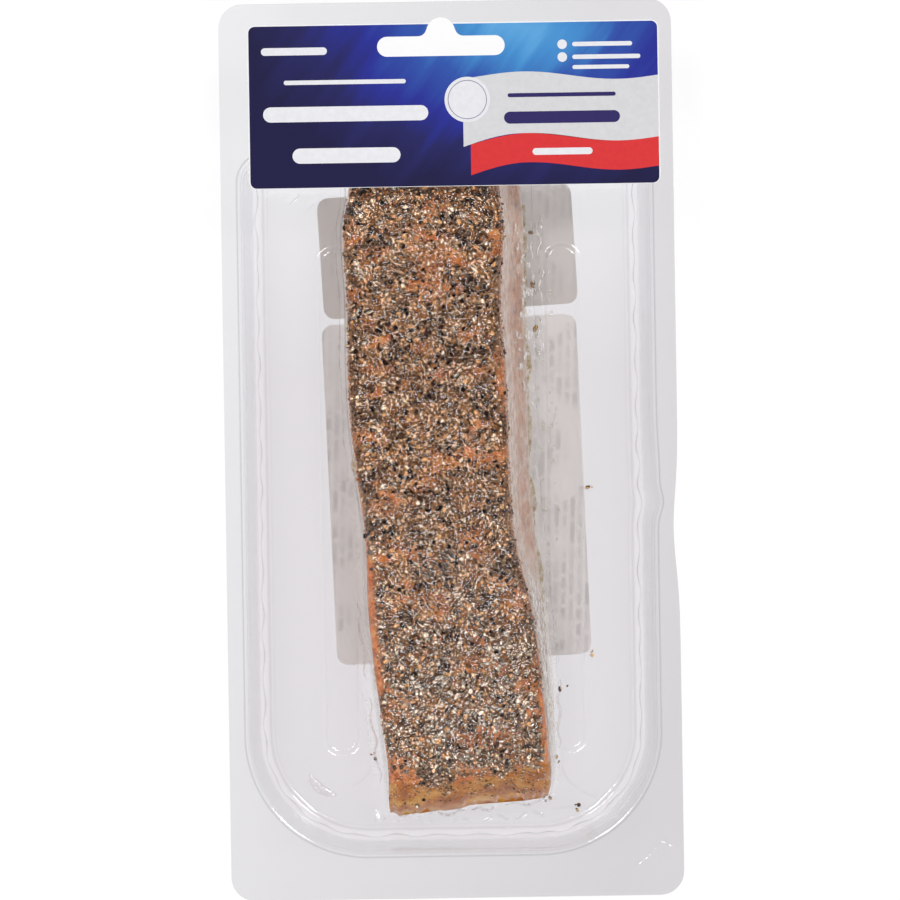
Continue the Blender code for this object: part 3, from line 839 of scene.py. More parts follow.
@lru_cache(maxsize=None)
def flesh_grid():
    """Rows of points round the fillet, the crust's first and last column, and how far each faces up."""
    y = row_places(FLESH_ROW_STEP, FILLET_STATIONS[-1][0] * MM)
    left, right, foot, thickness, crown, edge, radius = section_at(y)
    low = np.full(len(y), FILLET_BASE)
    tuck = np.minimum(FLANK_TUCK, 0.3 * thickness)
    foot_tuck = np.minimum(FOOT_TUCK, 0.3 * thickness)
    corners = corner_rows(
        (left + tuck, low),
        (foot - foot_tuck, low),
        (foot, low + 0.22 * thickness),
        (right + 0.35 * (foot - right), low + 0.62 * thickness),
        (right, edge),
        (left, edge),
        (left - FLANK_BULGE, low + 0.5 * thickness),
        (left + 0.15 * tuck, low + 0.22 * thickness),
    )
    path, starts = rounded_path(corners, radius, 5, (16, 3, 10, 8, 64, 9, 6, 3), True)
    first, last = starts[4], starts[5] + 6
    add_crown(path, left, right, crown, first, last)
    normals = path_normals(path, True)
    x = path[..., 0]
    rows_y = np.broadcast_to(y[:, None], x.shape)
    up = normals[..., 1]
    flake = FLAKE_RELIEF * noise_field(x * 0.6, rows_y * 0.35 + path[..., 1], 1.3 * MM, 5.0)
    out = crust_relief(x, rows_y, up) + flake * (0.35 + 0.65 * (np.abs(up) < 0.6)) * (up > -0.5)
    points = np.stack(
        [x + normals[..., 0] * out, skewed(x, rows_y), path[..., 1] + normals[..., 1] * out], axis=-1
    )
    return points, first, last, up


def capped_grid(points):
    """Closed rows of points with both end rows filled by fans round a middle point."""
    rows, columns, _ = points.shape
    flat = points.reshape(-1, 3)
    middles = points[[0, -1]].mean(axis=1)
    ring = np.arange(columns)
    beside = (ring + 1) % columns
    tail_fan = np.column_stack([beside, ring, np.full(columns, len(flat))])
    head_first = (rows - 1) * columns
    head_fan = np.column_stack([ring + head_first, beside + head_first, np.full(columns, len(flat) + 1)])
    return np.concatenate([flat, middles]), [grid_faces(rows, columns, wrap=True), tail_fan, head_fan]


def bare_share(x, y, left, right):
    """From 0 to 1, how bare of pepper the crust is at points in metres."""
    x_mm, y_mm = x / MM, y / MM
    torn_x = x_mm + 2.2 * noise_field(x, y, 2.2 * MM, 40.0) + 1.0 * noise_field(x, y, 0.8 * MM, 41.0)
    torn_y = y_mm + 1.6 * noise_field(x * 0.6, y, 1.8 * MM, 50.0)
    bare = np.zeros(len(x))
    for patch_x, patch_y, half_length, half_width, turn in BARE_PATCHES:
        cosine, sine = math.cos(math.radians(turn)), math.sin(math.radians(turn))
        along = (torn_x - patch_x) * cosine + (torn_y - patch_y) * sine
        across = (torn_y - patch_y) * cosine - (torn_x - patch_x) * sine
        reach = np.hypot(along / half_length, across / half_width)
        bare = np.maximum(bare, 0.93 * smooth(1.7 - 1.2 * reach))
    for (low, high, width), distance in (
        (BARE_LEFT_EDGE, x_mm - left / MM),
        (BARE_RIGHT_EDGE, right / MM - x_mm),
    ):
        along = smooth((y_mm - low) / 4) * smooth((high - y_mm) / 4)
        bare = np.maximum(bare, along * smooth(1.5 - distance / width))
    # The pepper ends above the tail in a ragged line, in mm, with a tongue of it left of the middle
    ragged = noise_field(x, y, 4.5 * MM, 3.0)
    tongue = 4.6 * np.exp(-(((x_mm + 4.6) / 5.5) ** 2))
    crust_end = CRUST_LIMIT_MM - tongue + 4.5 * smooth((-8.5 - x_mm) / 3)
    crust_end += 0.1 * np.maximum(x_mm - 8, 0) + 2.4 * ragged + 1.8 * noise_field(x, y, 1.7 * MM, 6.0)
    bare = np.maximum(bare, 0.97 * smooth((crust_end + 0.4 - y_mm) / 0.8))
    thin = noise_field(x * 0.8, y * 1.3, 7.5 * MM, 9.0)
    return np.maximum(bare, 0.7 * smooth((thin - 0.12) / 0.3))


def between(field, i, j, a, b):
    """Values of a grid at shares a and b past its row i and its column j."""
    return (
        field[i, j] * (1 - a) * (1 - b)
        + field[i + 1, j] * a * (1 - b)
        + field[i, j + 1] * (1 - a) * b
        + field[i + 1, j + 1] * a * b
    )


def crust_spots(rng, tries):
    """Random places on the crust, with their normals and how bare the crust is there."""
    points, first, last, _ = flesh_grid()
    crust = points[:, first:last]
    normals = np.cross(np.gradient(crust, axis=0), np.gradient(crust, axis=1))
    normals /= np.linalg.norm(normals, axis=-1, keepdims=True)
    row = rng.uniform(6, crust.shape[0] - 4, tries)
    column = rng.uniform(0, crust.shape[1] - 1.001, tries)
    i, j = row.astype(int), column.astype(int)
    place = between(crust, i, j, (row - i)[:, None], (column - j)[:, None])
    left, right, _, _ = stations(place[:, 1])
    return place, normals[i, j], bare_share(place[:, 0], place[:, 1], left, right)


@lru_cache(maxsize=None)
def lay_grains(count, smallest, largest, seed):
    """Place, normal, radius, tone, darkness and lift of the grains on the crust, largest first."""
    rng = np.random.default_rng(seed)
    tries = 8 * count
    place, normal, bare = crust_spots(rng, tries)
    rim = 0.55 + 0.5 * noise_field(place[:, 0], place[:, 1], 3.2 * MM, 60.0)
    keep = rng.uniform(0, 1, tries) > np.maximum(bare, smooth((rim - normal[:, 2]) / 0.3))
    radius = smallest + (largest - smallest) * rng.beta(1.4, 2.6, tries)
    slope = smooth((0.95 - normal[:, 2]) / 0.3)
    slope *= np.clip(0.7 + 0.9 * noise_field(place[:, 0], place[:, 1], 2.6 * MM, 61.0), 0, 1)
    radius *= 1 - 0.4 * slope
    draw = rng.uniform(0, 1, tries)
    order = np.argsort(-radius[: tries // 3])
    order = np.concatenate([order, np.arange(tries // 3, tries)])
    cells, chosen = {}, []
    cell = 2 * largest
    for i in order:
        if not keep[i] or len(chosen) == count:
            continue
        x, y, size = place[i, 0], place[i, 1], radius[i]
        key = (int(x // cell), int(y // cell))
        near = [
            j for a in (-1, 0, 1) for b in (-1, 0, 1) for j in cells.get((key[0] + a, key[1] + b), ())
        ]
        if any(
            (x - place[j, 0]) ** 2 + (y - place[j, 1]) ** 2 < (GRAIN_CROWDING * (size + radius[j])) ** 2
            for j in near
        ):
            continue
        cells.setdefault(key, []).append(i)
        chosen.append(i)
    chosen = np.array(chosen)
    dark = noise_field(place[chosen, 0], place[chosen, 1], 5.5 * MM, 21.0)
    lift = radius[chosen] * (0.05 + 0.5 * np.modf(draw[chosen] * 89)[0]) * (1 - 0.8 * slope[chosen])
    lifted = place[chosen] + normal[chosen] * lift[:, None]
    return lifted, normal[chosen], radius[chosen], draw[chosen], dark, lift


def film_cover(grains, drape):
    """Maps from above of the film's height off the flesh and off the grains."""
    place, _, radius, _, _, lift = grains
    shape = tuple(int(size / MAP_CELL) for size in MAP_SIZE)
    height = np.zeros(shape)
    for (x, y, _), size, raised_by in zip(place, radius, lift):
        reach = int(size / MAP_CELL) + 1
        i, j = int((x - MAP_LOW[0]) / MAP_CELL), int((y - MAP_LOW[1]) / MAP_CELL)
        columns = slice(max(i - reach, 0), min(i + reach + 2, shape[0]))
        rows = slice(max(j - reach, 0), min(j + reach + 2, shape[1]))
        grid_x = MAP_LOW[0] + np.arange(columns.start, columns.stop)[:, None] * MAP_CELL - x
        grid_y = MAP_LOW[1] + np.arange(rows.start, rows.stop)[None, :] * MAP_CELL - y
        apart = grid_x**2 + grid_y**2
        rise = raised_by + GRAIN_FLATNESS * size * np.sqrt(np.maximum(0, 1 - apart / size**2))
        rise[apart > size**2] = 0.0
        np.maximum(height[columns, rows], rise, out=height[columns, rows])
    steps = range(-DRAPE_REACH, DRAPE_REACH + 1)
    shifts = [
        (i, j, (i * i + j * j) * MAP_CELL**2 / (2 * drape))
        for i in steps
        for j in steps
        if i * i + j * j <= DRAPE_REACH**2
    ]
    raised = np.zeros(shape)
    for i, j, drop in shifts:
        np.maximum(raised, np.roll(height, (i, j), axis=(0, 1)) - drop, out=raised)
    draped = np.full(shape, 1.0)
    for i, j, drop in shifts:
        np.minimum(draped, np.roll(raised, (i, j), axis=(0, 1)) + drop, out=draped)
    return draped, draped - height


def sample_map(field, x, y):
    """Values between the cells of a map from above."""
    u = np.clip((x - MAP_LOW[0]) / MAP_CELL, 0, field.shape[0] - 1.001)
    v = np.clip((y - MAP_LOW[1]) / MAP_CELL, 0, field.shape[1] - 1.001)
    i, j = u.astype(int), v.astype(int)
    return between(field, i, j, u - i, v - j)


def film_foot(film, y, right_side):
    """How far the film's foot stands off the flank at Y."""
    wobble = FOOT_WOBBLE * noise_field(np.full(len(y), 40 * MM if right_side else -40 * MM), y, 7 * MM)
    if right_side:
        return film.flare + wobble
    share = smooth((20 * MM - y) / (80 * MM))
    return film.flare + (film.tail_flare - film.flare) * share + wobble


def tent_haze_and_glints(x, z, rows_y, foot, on_crust, bridged):
    """How milky the film is on the flanks and over the lower crust, with painted glints by the right foot.
    """
    turned = np.where(x < 0, 0.14, 0.36)
    flank = (0.6 + 1.1 * smooth((-5 * MM - rows_y) / (45 * MM))) * smooth((turned - on_crust) / turned)
    flank *= smooth((rows_y - TAIL_SLOPE_Y) / (5 * MM)) * np.where(x < 0, 0.5, 1.0)
    # Painted glints: white patches on the crinkled film by the right foot
    crinkle_glints = smooth((noise_field(x + z, rows_y * 0.55, 1.5 * MM, 70.0) - 0.12) / 0.12)
    crinkle_glints *= smooth((x - foot[:, None] + 4 * MM) / (2 * MM)) * smooth((60 * MM - rows_y) / (5 * MM))
    flank += crinkle_glints * (0.4 + 1.6 * smooth((rows_y - 5 * MM) / (20 * MM)))
    patchy = 0.35 + 0.65 * smooth((noise_field(x, rows_y, 8 * MM, 14.0) + 0.1) / 0.5)
    milky = patchy * smooth((8 * MM - rows_y) / (45 * MM)) * smooth((rows_y - TAIL_SLOPE_Y) / (6 * MM))
    crust = milky * (0.04 + 0.4 * bridged) * on_crust
    # Along the film's foot off the tail a white veil, partly milky film and partly painted highlight
    return np.concatenate([np.full_like(flank[:1], 0.5), flank + crust, flank[[-1] * BRIDGE_ROWS]])


def film_tent(film, grains):
    """The film over the fillet from its right foot to its left, its values, and its line on the floor."""
    y = row_places(FILM_ROW_STEP, BRIDGE_FROM_Y)
    left, right, foot, thickness, crown, edge, radius = section_at(y)
    low = np.full(len(y), FILLET_BASE)
    flare_left, flare_right = film_foot(film, y, False), film_foot(film, y, True)
    right_foot = foot + flare_right
    left_foot = left - flare_left
    corners = corner_rows(
        (right_foot, FILM_FLOOR + rib_height(right_foot, skewed(right_foot, y))),
        (foot + 0.3 * flare_right, low + 0.16 * thickness),
        (right + 0.35 * (foot - right) + FILM_SLACK, low + 0.62 * thickness),
        (right, edge),
        (left, edge),
        (left - FLANK_BULGE - FILM_SLACK, low + 0.55 * thickness),
        (left - 0.3 * flare_left, low + 0.16 * thickness),
        (left_foot, FILM_FLOOR + rib_height(left_foot, skewed(left_foot, y))),
    )
    path, starts = rounded_path(corners, radius, 5, (5, 5, 5, 118, 5, 5, 5), False)
    first, last = starts[3], starts[4] + 6
    add_crown(path, left, right, crown, first, last)
    normals = path_normals(path, False)
    x, z = path[..., 0], path[..., 1]
    rows_y = np.broadcast_to(y[:, None], x.shape)
    place_y = skewed(x, rows_y)
    cover, gap = film_cover(grains, film.drape)
    held_x = np.clip(x, left[:, None] + EDGE_MARGIN, right[:, None] - EDGE_MARGIN)
    bridged = smooth(sample_map(gap, held_x, place_y) / MILKY_GAP)
    on_crust = smooth((normals[..., 1] - 0.15) / 0.5)
    crinkle = CRINKLE * noise_field(x + z, rows_y * 0.35, 1.7 * MM, 2.0)
    out = crust_relief(x, rows_y, normals[..., 1])
    out += (sample_map(cover, held_x, place_y) + film.clearance) * on_crust
    out += (FLANK_CLEARANCE + crinkle) * (1 - on_crust)
    out[:, [0, -1]] = 0.0
    points = np.stack([x + normals[..., 0] * out, place_y, z + normals[..., 1] * out], axis=-1)
    # The film's foot off the tail, and its bridge from the head end to the wall of the well
    tail = points[0].copy()
    tail[:, 1] -= TAIL_FOOT + TAIL_FOOT_WOBBLE * noise_field(tail[:, 0], tail[:, 1] * 0, 2.6 * MM, 4.0)
    tail[:, 2] = FILM_FLOOR + rib_height(tail[:, 0], tail[:, 1])
    wall = well_section(FILM_CLEAR, 9)[::-1]
    reach = WELL_TOP - np.interp(points[-1, :, 2], wall[:, 1], wall[:, 0]) - WALL_GAP
    heads = []
    for share in np.linspace(0, 1, BRIDGE_ROWS + 1)[1:]:
        head = points[-1].copy()
        head[:, 1] += (reach - head[:, 1]) * share
        head[:, 2] -= BRIDGE_SAG * math.sin(math.pi * share) * on_crust[-1]
        heads.append(head)
    grid = np.concatenate([tail[None], points, np.stack(heads)])
    # Painted shade along the film's two foot lines
    crease_shade = np.zeros(grid.shape[:2])
    crease_shade[:, [0, -1]] = 0.08
    above_tail = smooth((rows_y + 87 * MM) / (4 * MM))
    wet = (0.45 + 0.55 * on_crust) * above_tail
    wet[:, [0, 1, -2, -1]] = 0.0
    none = np.zeros_like(wet[:1])
    fields = {
        "haze_and_glint": tent_haze_and_glints(x, z, rows_y, foot, on_crust, bridged),
        "crease_shade": crease_shade,
        "wet": np.concatenate([none, wet, wet[[-1] * BRIDGE_ROWS]]),
        "calm": np.concatenate([none, 1 - above_tail, none[[0] * BRIDGE_ROWS]]),
    }
    foot_line = np.concatenate([grid[::-1, 0], grid[0, 1:-1], grid[:, -1]])
    return grid, {name: field.ravel() for name, field in fields.items()}, foot_line


def fold_line(x0, y0, x1, y1):
    """Start and run of a fold in metres, and the unit vector to its left."""
    start = np.array([x0, y0]) * MM
    run = np.array([x1, y1]) * MM - start
    side = np.array([-run[1], run[0]])
    return start, run, side / np.linalg.norm(side)


def fold_rows():
    """For each fold in the film, five rows of points along it and their heights."""
    rows, heights = [], []
    t = np.linspace(0, 1, 24)[:, None]
    crest = np.sqrt(np.sin(math.pi * t[:, 0]).clip(0))
    for *ends, bow, height, half_width in FILM_FOLDS:
        start, run, side = fold_line(*ends)
        middle = start + t * run + side * bow * MM * 4 * t * (1 - t)
        for offset in (-half_width, -half_width / 2, 0.0, half_width / 2, half_width):
            rows.append(middle + side * offset * MM)
            heights.append(height * MM * (1 - abs(offset) / half_width) * crest)
    return np.concatenate(rows), np.concatenate(heights)


def fold_height(points, fold_points, fold_heights):
    """Height of the folds at the points that are theirs, 0 at all others."""
    height = np.zeros(len(points))
    for place, rise in zip(fold_points, fold_heights):
        if rise > 1e-6:
            height[np.argmin(np.hypot(*(points - place).T))] = rise
    nearest = np.array([np.min(np.hypot(*(fold_points - point).T)) for point in points])
    return np.where(nearest < 0.02 * MM, height, 0.0)


def film_curls():
    """Rolled folds as long low ridges: for each, its points, faces and values."""
    parts = []
    t = np.linspace(0, 1, 48)
    arch = np.linspace(0, math.pi, 9)
    taper = np.sqrt(np.sin(math.pi * t).clip(0))[:, None]
    for number, (*ends, wave, turns, height, half_width) in enumerate(FILM_CURLS):
        start, run, side = fold_line(*ends)
        sway = wave * MM * np.sin(2 * math.pi * turns * t) + 0.3 * MM * noise_field(t, t * 0 + number, 0.12)
        middle = start + t[:, None] * run + sway[:, None] * side
        flat = middle[:, None] + (half_width * MM * taper * np.cos(arch))[..., None] * side
        level = FILM_FLOOR + rib_height(flat[..., 0], flat[..., 1]) + height * MM * taper * np.sin(arch)
        points = np.concatenate([flat, level[..., None]], axis=-1).reshape(-1, 3)
        # Painted shade along the curls' edges and a painted highlight along their crests
        values = still(points, np.tile(0.3 * np.cos(arch) ** 4, len(t)))
        values["haze_and_glint"] = np.tile(1.2 * np.sin(arch) ** 6, len(t))
        parts.append((points, [grid_faces(len(t), len(arch))], values))
    return parts


def film_surface(film, grains):
    """The skin film in two sheets, with painted shade along its folds and a milky veil that also paints
    glints: flange, walls and floor, then the tent.
    """
    section = well_section(FILM_CLEAR, 6, stop_above_floor=film.contact_height)
    rim = well_outline(0.0)
    inward = (well_outline(1 * MM) - rim) / (1 * MM)
    run = np.concatenate([[0.0], np.cumsum(np.hypot(*np.diff(rim, axis=0).T))])
    wave = np.sin(2 * math.pi * run / film.contact_pitch + 1.5 * noise_field(run, run * 0, 23 * MM))
    wave = 0.6 * wave + 0.7 * noise_field(run, run * 0 + 1.0, 6 * MM)
    rings = [ring_at(rim - (RIM_RADIUS + GUARD) * inward, FILM_FLANGE)]
    # Painted shade: grey lines along the rim, the wall and where the film leaves the wall
    crease_shades = [0.0]
    for i, (inset, z) in enumerate(section):
        rings.append(ring_at(rim + inset * inward, z))
        crease_shades.append({0: 0.11, 5: 0.10}.get(i, 0.0))
    # Off the wall along a wavy line of contact, then in a long curve down to the floor
    leave_inset, leave_z = section[-1]
    contact = leave_inset + WALL_GAP + film.contact_wave * (1 + wave)
    for drop, share, crease_shade in CONTACT_RINGS:
        start, start_z = leave_inset + share * (contact - leave_inset), leave_z - drop * MM
        rings.append(ring_at(rim + start[:, None] * inward, start_z))
        crease_shades.append(crease_shade)
    end = well_section(FILM_CLEAR, 8)[-1][0] + 0.6 * MM
    for t in np.linspace(0, 1, 8)[1:]:
        inset = (1 - t) ** 2 * start + 2 * t * (1 - t) * (start + 0.4 * MM) + t**2 * end
        z = (1 - t) ** 2 * start_z + 2 * t * (1 - t) * FILM_FLOOR + t**2 * FILM_FLOOR
        rings.append(ring_at(rim + inset[:, None] * inward, z))
        crease_shades.append(0.06 if t == 1.0 else 0.0)
    rings.append(ring_at(rim + (end + GUARD) * inward, FILM_FLOOR))
    crease_shades.append(0.0)
    ring_points, ring_faces = stack_rings(rings)
    folds = fold_rows()
    flange_xy, flange_faces = flange_region(rings[0], 5 * MM, [folds[0]])
    flange_fold = fold_height(flange_xy, *folds)
    tent, tent_values, foot_line = film_tent(film, grains)
    floor_xy, floor_faces = floor_region(rings[-1], 3 * MM, [foot_line[:, :2]], [folds[0]])
    floor_fold = fold_height(floor_xy, *folds)
    floor_points = np.column_stack([floor_xy, FILM_FLOOR + rib_height(*floor_xy.T) + floor_fold])
    # Painted shade on the ribs' slopes and along the folds, here and on the flange
    floor_crease_shade = 0.06 * rib_crease(*floor_xy.T) + np.minimum(floor_fold / (1.2 * MM), 0.15)
    spread = join_parts(
        [
            (ring_points, [ring_faces], still(ring_points, np.repeat(crease_shades, len(rim)))),
            (
                np.column_stack([flange_xy, FILM_FLANGE + flange_fold]),
                [flange_faces],
                still(flange_xy, flange_fold / (1.6 * MM)),
            ),
            (floor_points, [floor_faces], still(floor_xy, floor_crease_shade)),
        ]
        + film_curls()
    )
    return spread, (tent.reshape(-1, 3), [grid_faces(*tent.shape[:2])], tent_values)


def still(points, crease_shade):
    """The film's values where it lies flat and clear."""
    return {"crease_shade": crease_shade, "haze_and_glint": np.zeros(len(points)), "wet": np.zeros(len(points))}


def clear_plastic(name, gloss, wrinkle_size, wrinkle_depth, haze_and_glint_white=None):
    """A clear sheet: see-through face on, denser at a glancing angle, with painted shade on its bends,
    glossy.
    """
    material, tree, surface = new_material(name)
    place = add_node(tree, "TexCoord", out="Object")
    height = add_node(tree, "SeparateXYZ", {"Vector": place}, out="Z")
    up = add_node(tree, "MapRange", {"Value": height, "From Min": 3 * MM, "From Max": 26 * MM})
    # Tint deepens towards the flange's lower right and the lower floor, where the photo's sheet is greyer
    lean = add_node(
        tree, "VectorMath", {0: place, 1: (-5.5, 2.2, 0.0)}, operation="DOT_PRODUCT", out="Value"
    )
    thin = add_node(tree, "Math", {0: lean, 1: 0.45}, operation="ADD", use_clamp=True)
    sheet_tint = add_node(tree, "MixRGB", {"Fac": thin, "Color1": "#F4F3F4", "Color2": "#FCFCFD"})
    # Painted highlight: low down the tint clears towards the head, below the label
    along = add_node(tree, "SeparateXYZ", {"Vector": place}, out="Y")
    head = add_node(tree, "MapRange", {"Value": along, "From Min": 20 * MM, "From Max": 80 * MM})
    drawn = add_node(tree, "MixRGB", {"Fac": head, "Color1": "#F8F7F8", "Color2": "#FCFCFD"})
    body = add_node(tree, "MixRGB", {"Fac": up, "Color1": drawn, "Color2": sheet_tint})
    facing = add_node(tree, "LayerWeight", {"Blend": 0.5}, out="Facing")
    glance = add_node(tree, "Math", {0: facing, 1: 14.0}, operation="POWER")
    # Painted shade: the tint turns grey along bends and folds, as the points' values give it
    crease_shade = add_node(tree, "Attribute", attribute_name="crease_shade", out="Fac")
    density_and_crease_shade = add_node(tree, "Math", {0: glance, 1: crease_shade}, operation="MAXIMUM", use_clamp=True)
    tint = add_node(tree, "MixRGB", {"Fac": density_and_crease_shade, "Color1": body, "Color2": "#B4B6BB"})
    wrinkles = add_node(
        tree, "TexNoise", {"Vector": place, "Scale": 1 / wrinkle_size, "Detail": 3.0, "Roughness": 0.55}
    )
    rough = gloss
    if haze_and_glint_white:
        # Where the film lies wet on grains it puckers finely and glints in flecks; on the tail it lies calm
        wet = add_node(tree, "Attribute", attribute_name="wet", out="Fac")
        puckers = add_node(
            tree, "TexNoise", {"Vector": place, "Scale": 1 / (0.45 * MM), "Detail": 2.0, "Roughness": 0.5}
        )
        flecks = add_node(tree, "TexNoise", {"Vector": place, "Scale": 1 / (0.34 * MM), "Detail": 0.0})
        spark = add_node(
            tree,
            "MapRange",
            {"Value": flecks, "From Min": 0.55, "From Max": 0.61, "To Min": -1.0, "To Max": 0.7},
        )
        sparkle = add_node(tree, "Math", {0: spark, 1: wet, 2: 1.0}, operation="MULTIPLY_ADD")
        tight = add_node(tree, "Math", {0: puckers, 1: wet}, operation="MULTIPLY")
        calm = add_node(tree, "Attribute", attribute_name="calm", out="Fac")
        loose = add_node(tree, "Math", {0: calm, 1: -0.85, 2: 1.0}, operation="MULTIPLY_ADD")
        wrinkles = add_node(tree, "Math", {0: wrinkles, 1: loose}, operation="MULTIPLY")
        wrinkles = add_node(tree, "Math", {0: tight, 1: 2.4, 2: wrinkles}, operation="MULTIPLY_ADD")
        rough = add_node(tree, "Math", {0: wet, 1: 0.02, 2: gloss}, operation="MULTIPLY_ADD")
    bump = add_node(tree, "Bump", {"Height": wrinkles, "Strength": 1.0, "Distance": wrinkle_depth})
    clear = add_node(tree, "BsdfTransparent", {"Color": tint})
    gloss_shader = add_node(
        tree, "BsdfAnisotropic", {"Color": (1, 1, 1, 1), "Roughness": rough, "Normal": bump}
    )
    bent = add_node(tree, "LayerWeight", {"Blend": 0.5, "Normal": bump}, out="Facing")
    schlick = add_node(tree, "Math", {0: bent, 1: 5.0}, operation="POWER")
    base = 0.02
    if haze_and_glint_white:
        base = add_node(tree, "Math", {0: wet, 1: 0.06, 2: 0.055}, operation="MULTIPLY_ADD")
    share = add_node(tree, "Math", {0: schlick, 1: 0.5, 2: base}, operation="MULTIPLY_ADD", use_clamp=True)
    if haze_and_glint_white:
        share = add_node(tree, "Math", {0: share, 1: sparkle}, operation="MULTIPLY", use_clamp=True)
    sheet = add_node(tree, "MixShader", {0: share, 1: clear, 2: gloss_shader})
    if haze_and_glint_white:
        # Stretched and crinkled film turns milky in streaks along the fillet; the same white veil also
        # paints glints
        haze_and_glint = add_node(tree, "Attribute", attribute_name="haze_and_glint", out="Fac")
        drawn = add_node(tree, "Mapping", {"Vector": place, "Scale": (1.0, 0.55, 1.0)})
        streaks = add_node(
            tree, "TexNoise", {"Vector": drawn, "Scale": 1 / (1.1 * MM), "Detail": 4.0, "Roughness": 0.6}
        )
        strong = add_node(
            tree, "MapRange", {"Value": streaks, "From Min": 0.4, "From Max": 0.75, "To Max": 1.0}
        )
        veil = add_node(tree, "Math", {0: haze_and_glint, 1: strong}, operation="MULTIPLY", use_clamp=True)
        white = add_node(tree, "BsdfDiffuse", {"Color": haze_and_glint_white})
        sheet = add_node(tree, "MixShader", {0: veil, 1: sheet, 2: white})
    tree.links.new(sheet, surface)
    return material


class SALMON_PACK_OT_tray(bpy.types.Operator):
    """Form the clear tray: flange, well, ribs and hang slot"""

    bl_idname = "salmon_pack.tray"
    bl_label = "Form Tray"

    def execute(self, context):
        film = context.scene.salmon_pack_film
        points, faces, attributes = tray_surface()
        mesh = weld(new_mesh("clear_tray", points, faces, attributes))
        # Thermoformed PET: clear and glossy, with soft waves and a tint that deepens on the flange towards
        # its lower right; a painted highlight clears it low towards the head, and painted shade greys its
        # bends
        material = clear_plastic("thermoformed_clear_pet", 0.05, 9.0 * MM, 0.05 * MM)
        tray = place_piece("clear_tray", mesh, material, ["tray"])
        shell = tray.modifiers.new("sheet", "SOLIDIFY")
        shell.thickness = film.sheet
        shell.offset = -1.0
        return {"FINISHED"}


class SALMON_PACK_OT_film(bpy.types.Operator):
    """Draw the skin film over the flange, the well and the fillet"""

    bl_idname = "salmon_pack.film"
    bl_label = "Draw Film"

    def execute(self, context):
        film = context.scene.salmon_pack_film
        spread, tent = film_surface(film, pepper_of(context))
        # Vacuum skin film: thin polythene drawn hot, which clings to each grain and shines in sharp glints
        material = clear_plastic("drawn_polythene_film", 0.07, 1.1 * MM, 0.06 * MM, "#F2EEEA")
        for name, sheet in (("skin_film_clear", spread), ("skin_film_tent", tent)):
            place_piece(name, weld(new_mesh(name, *sheet)), material, ["skin_film"])
        return {"FINISHED"}


def pepper_of(context):
    """The grains as the settings give them."""
    pepper = context.scene.salmon_pack_pepper
    return lay_grains(pepper.grains, pepper.smallest, pepper.largest, pepper.seed)


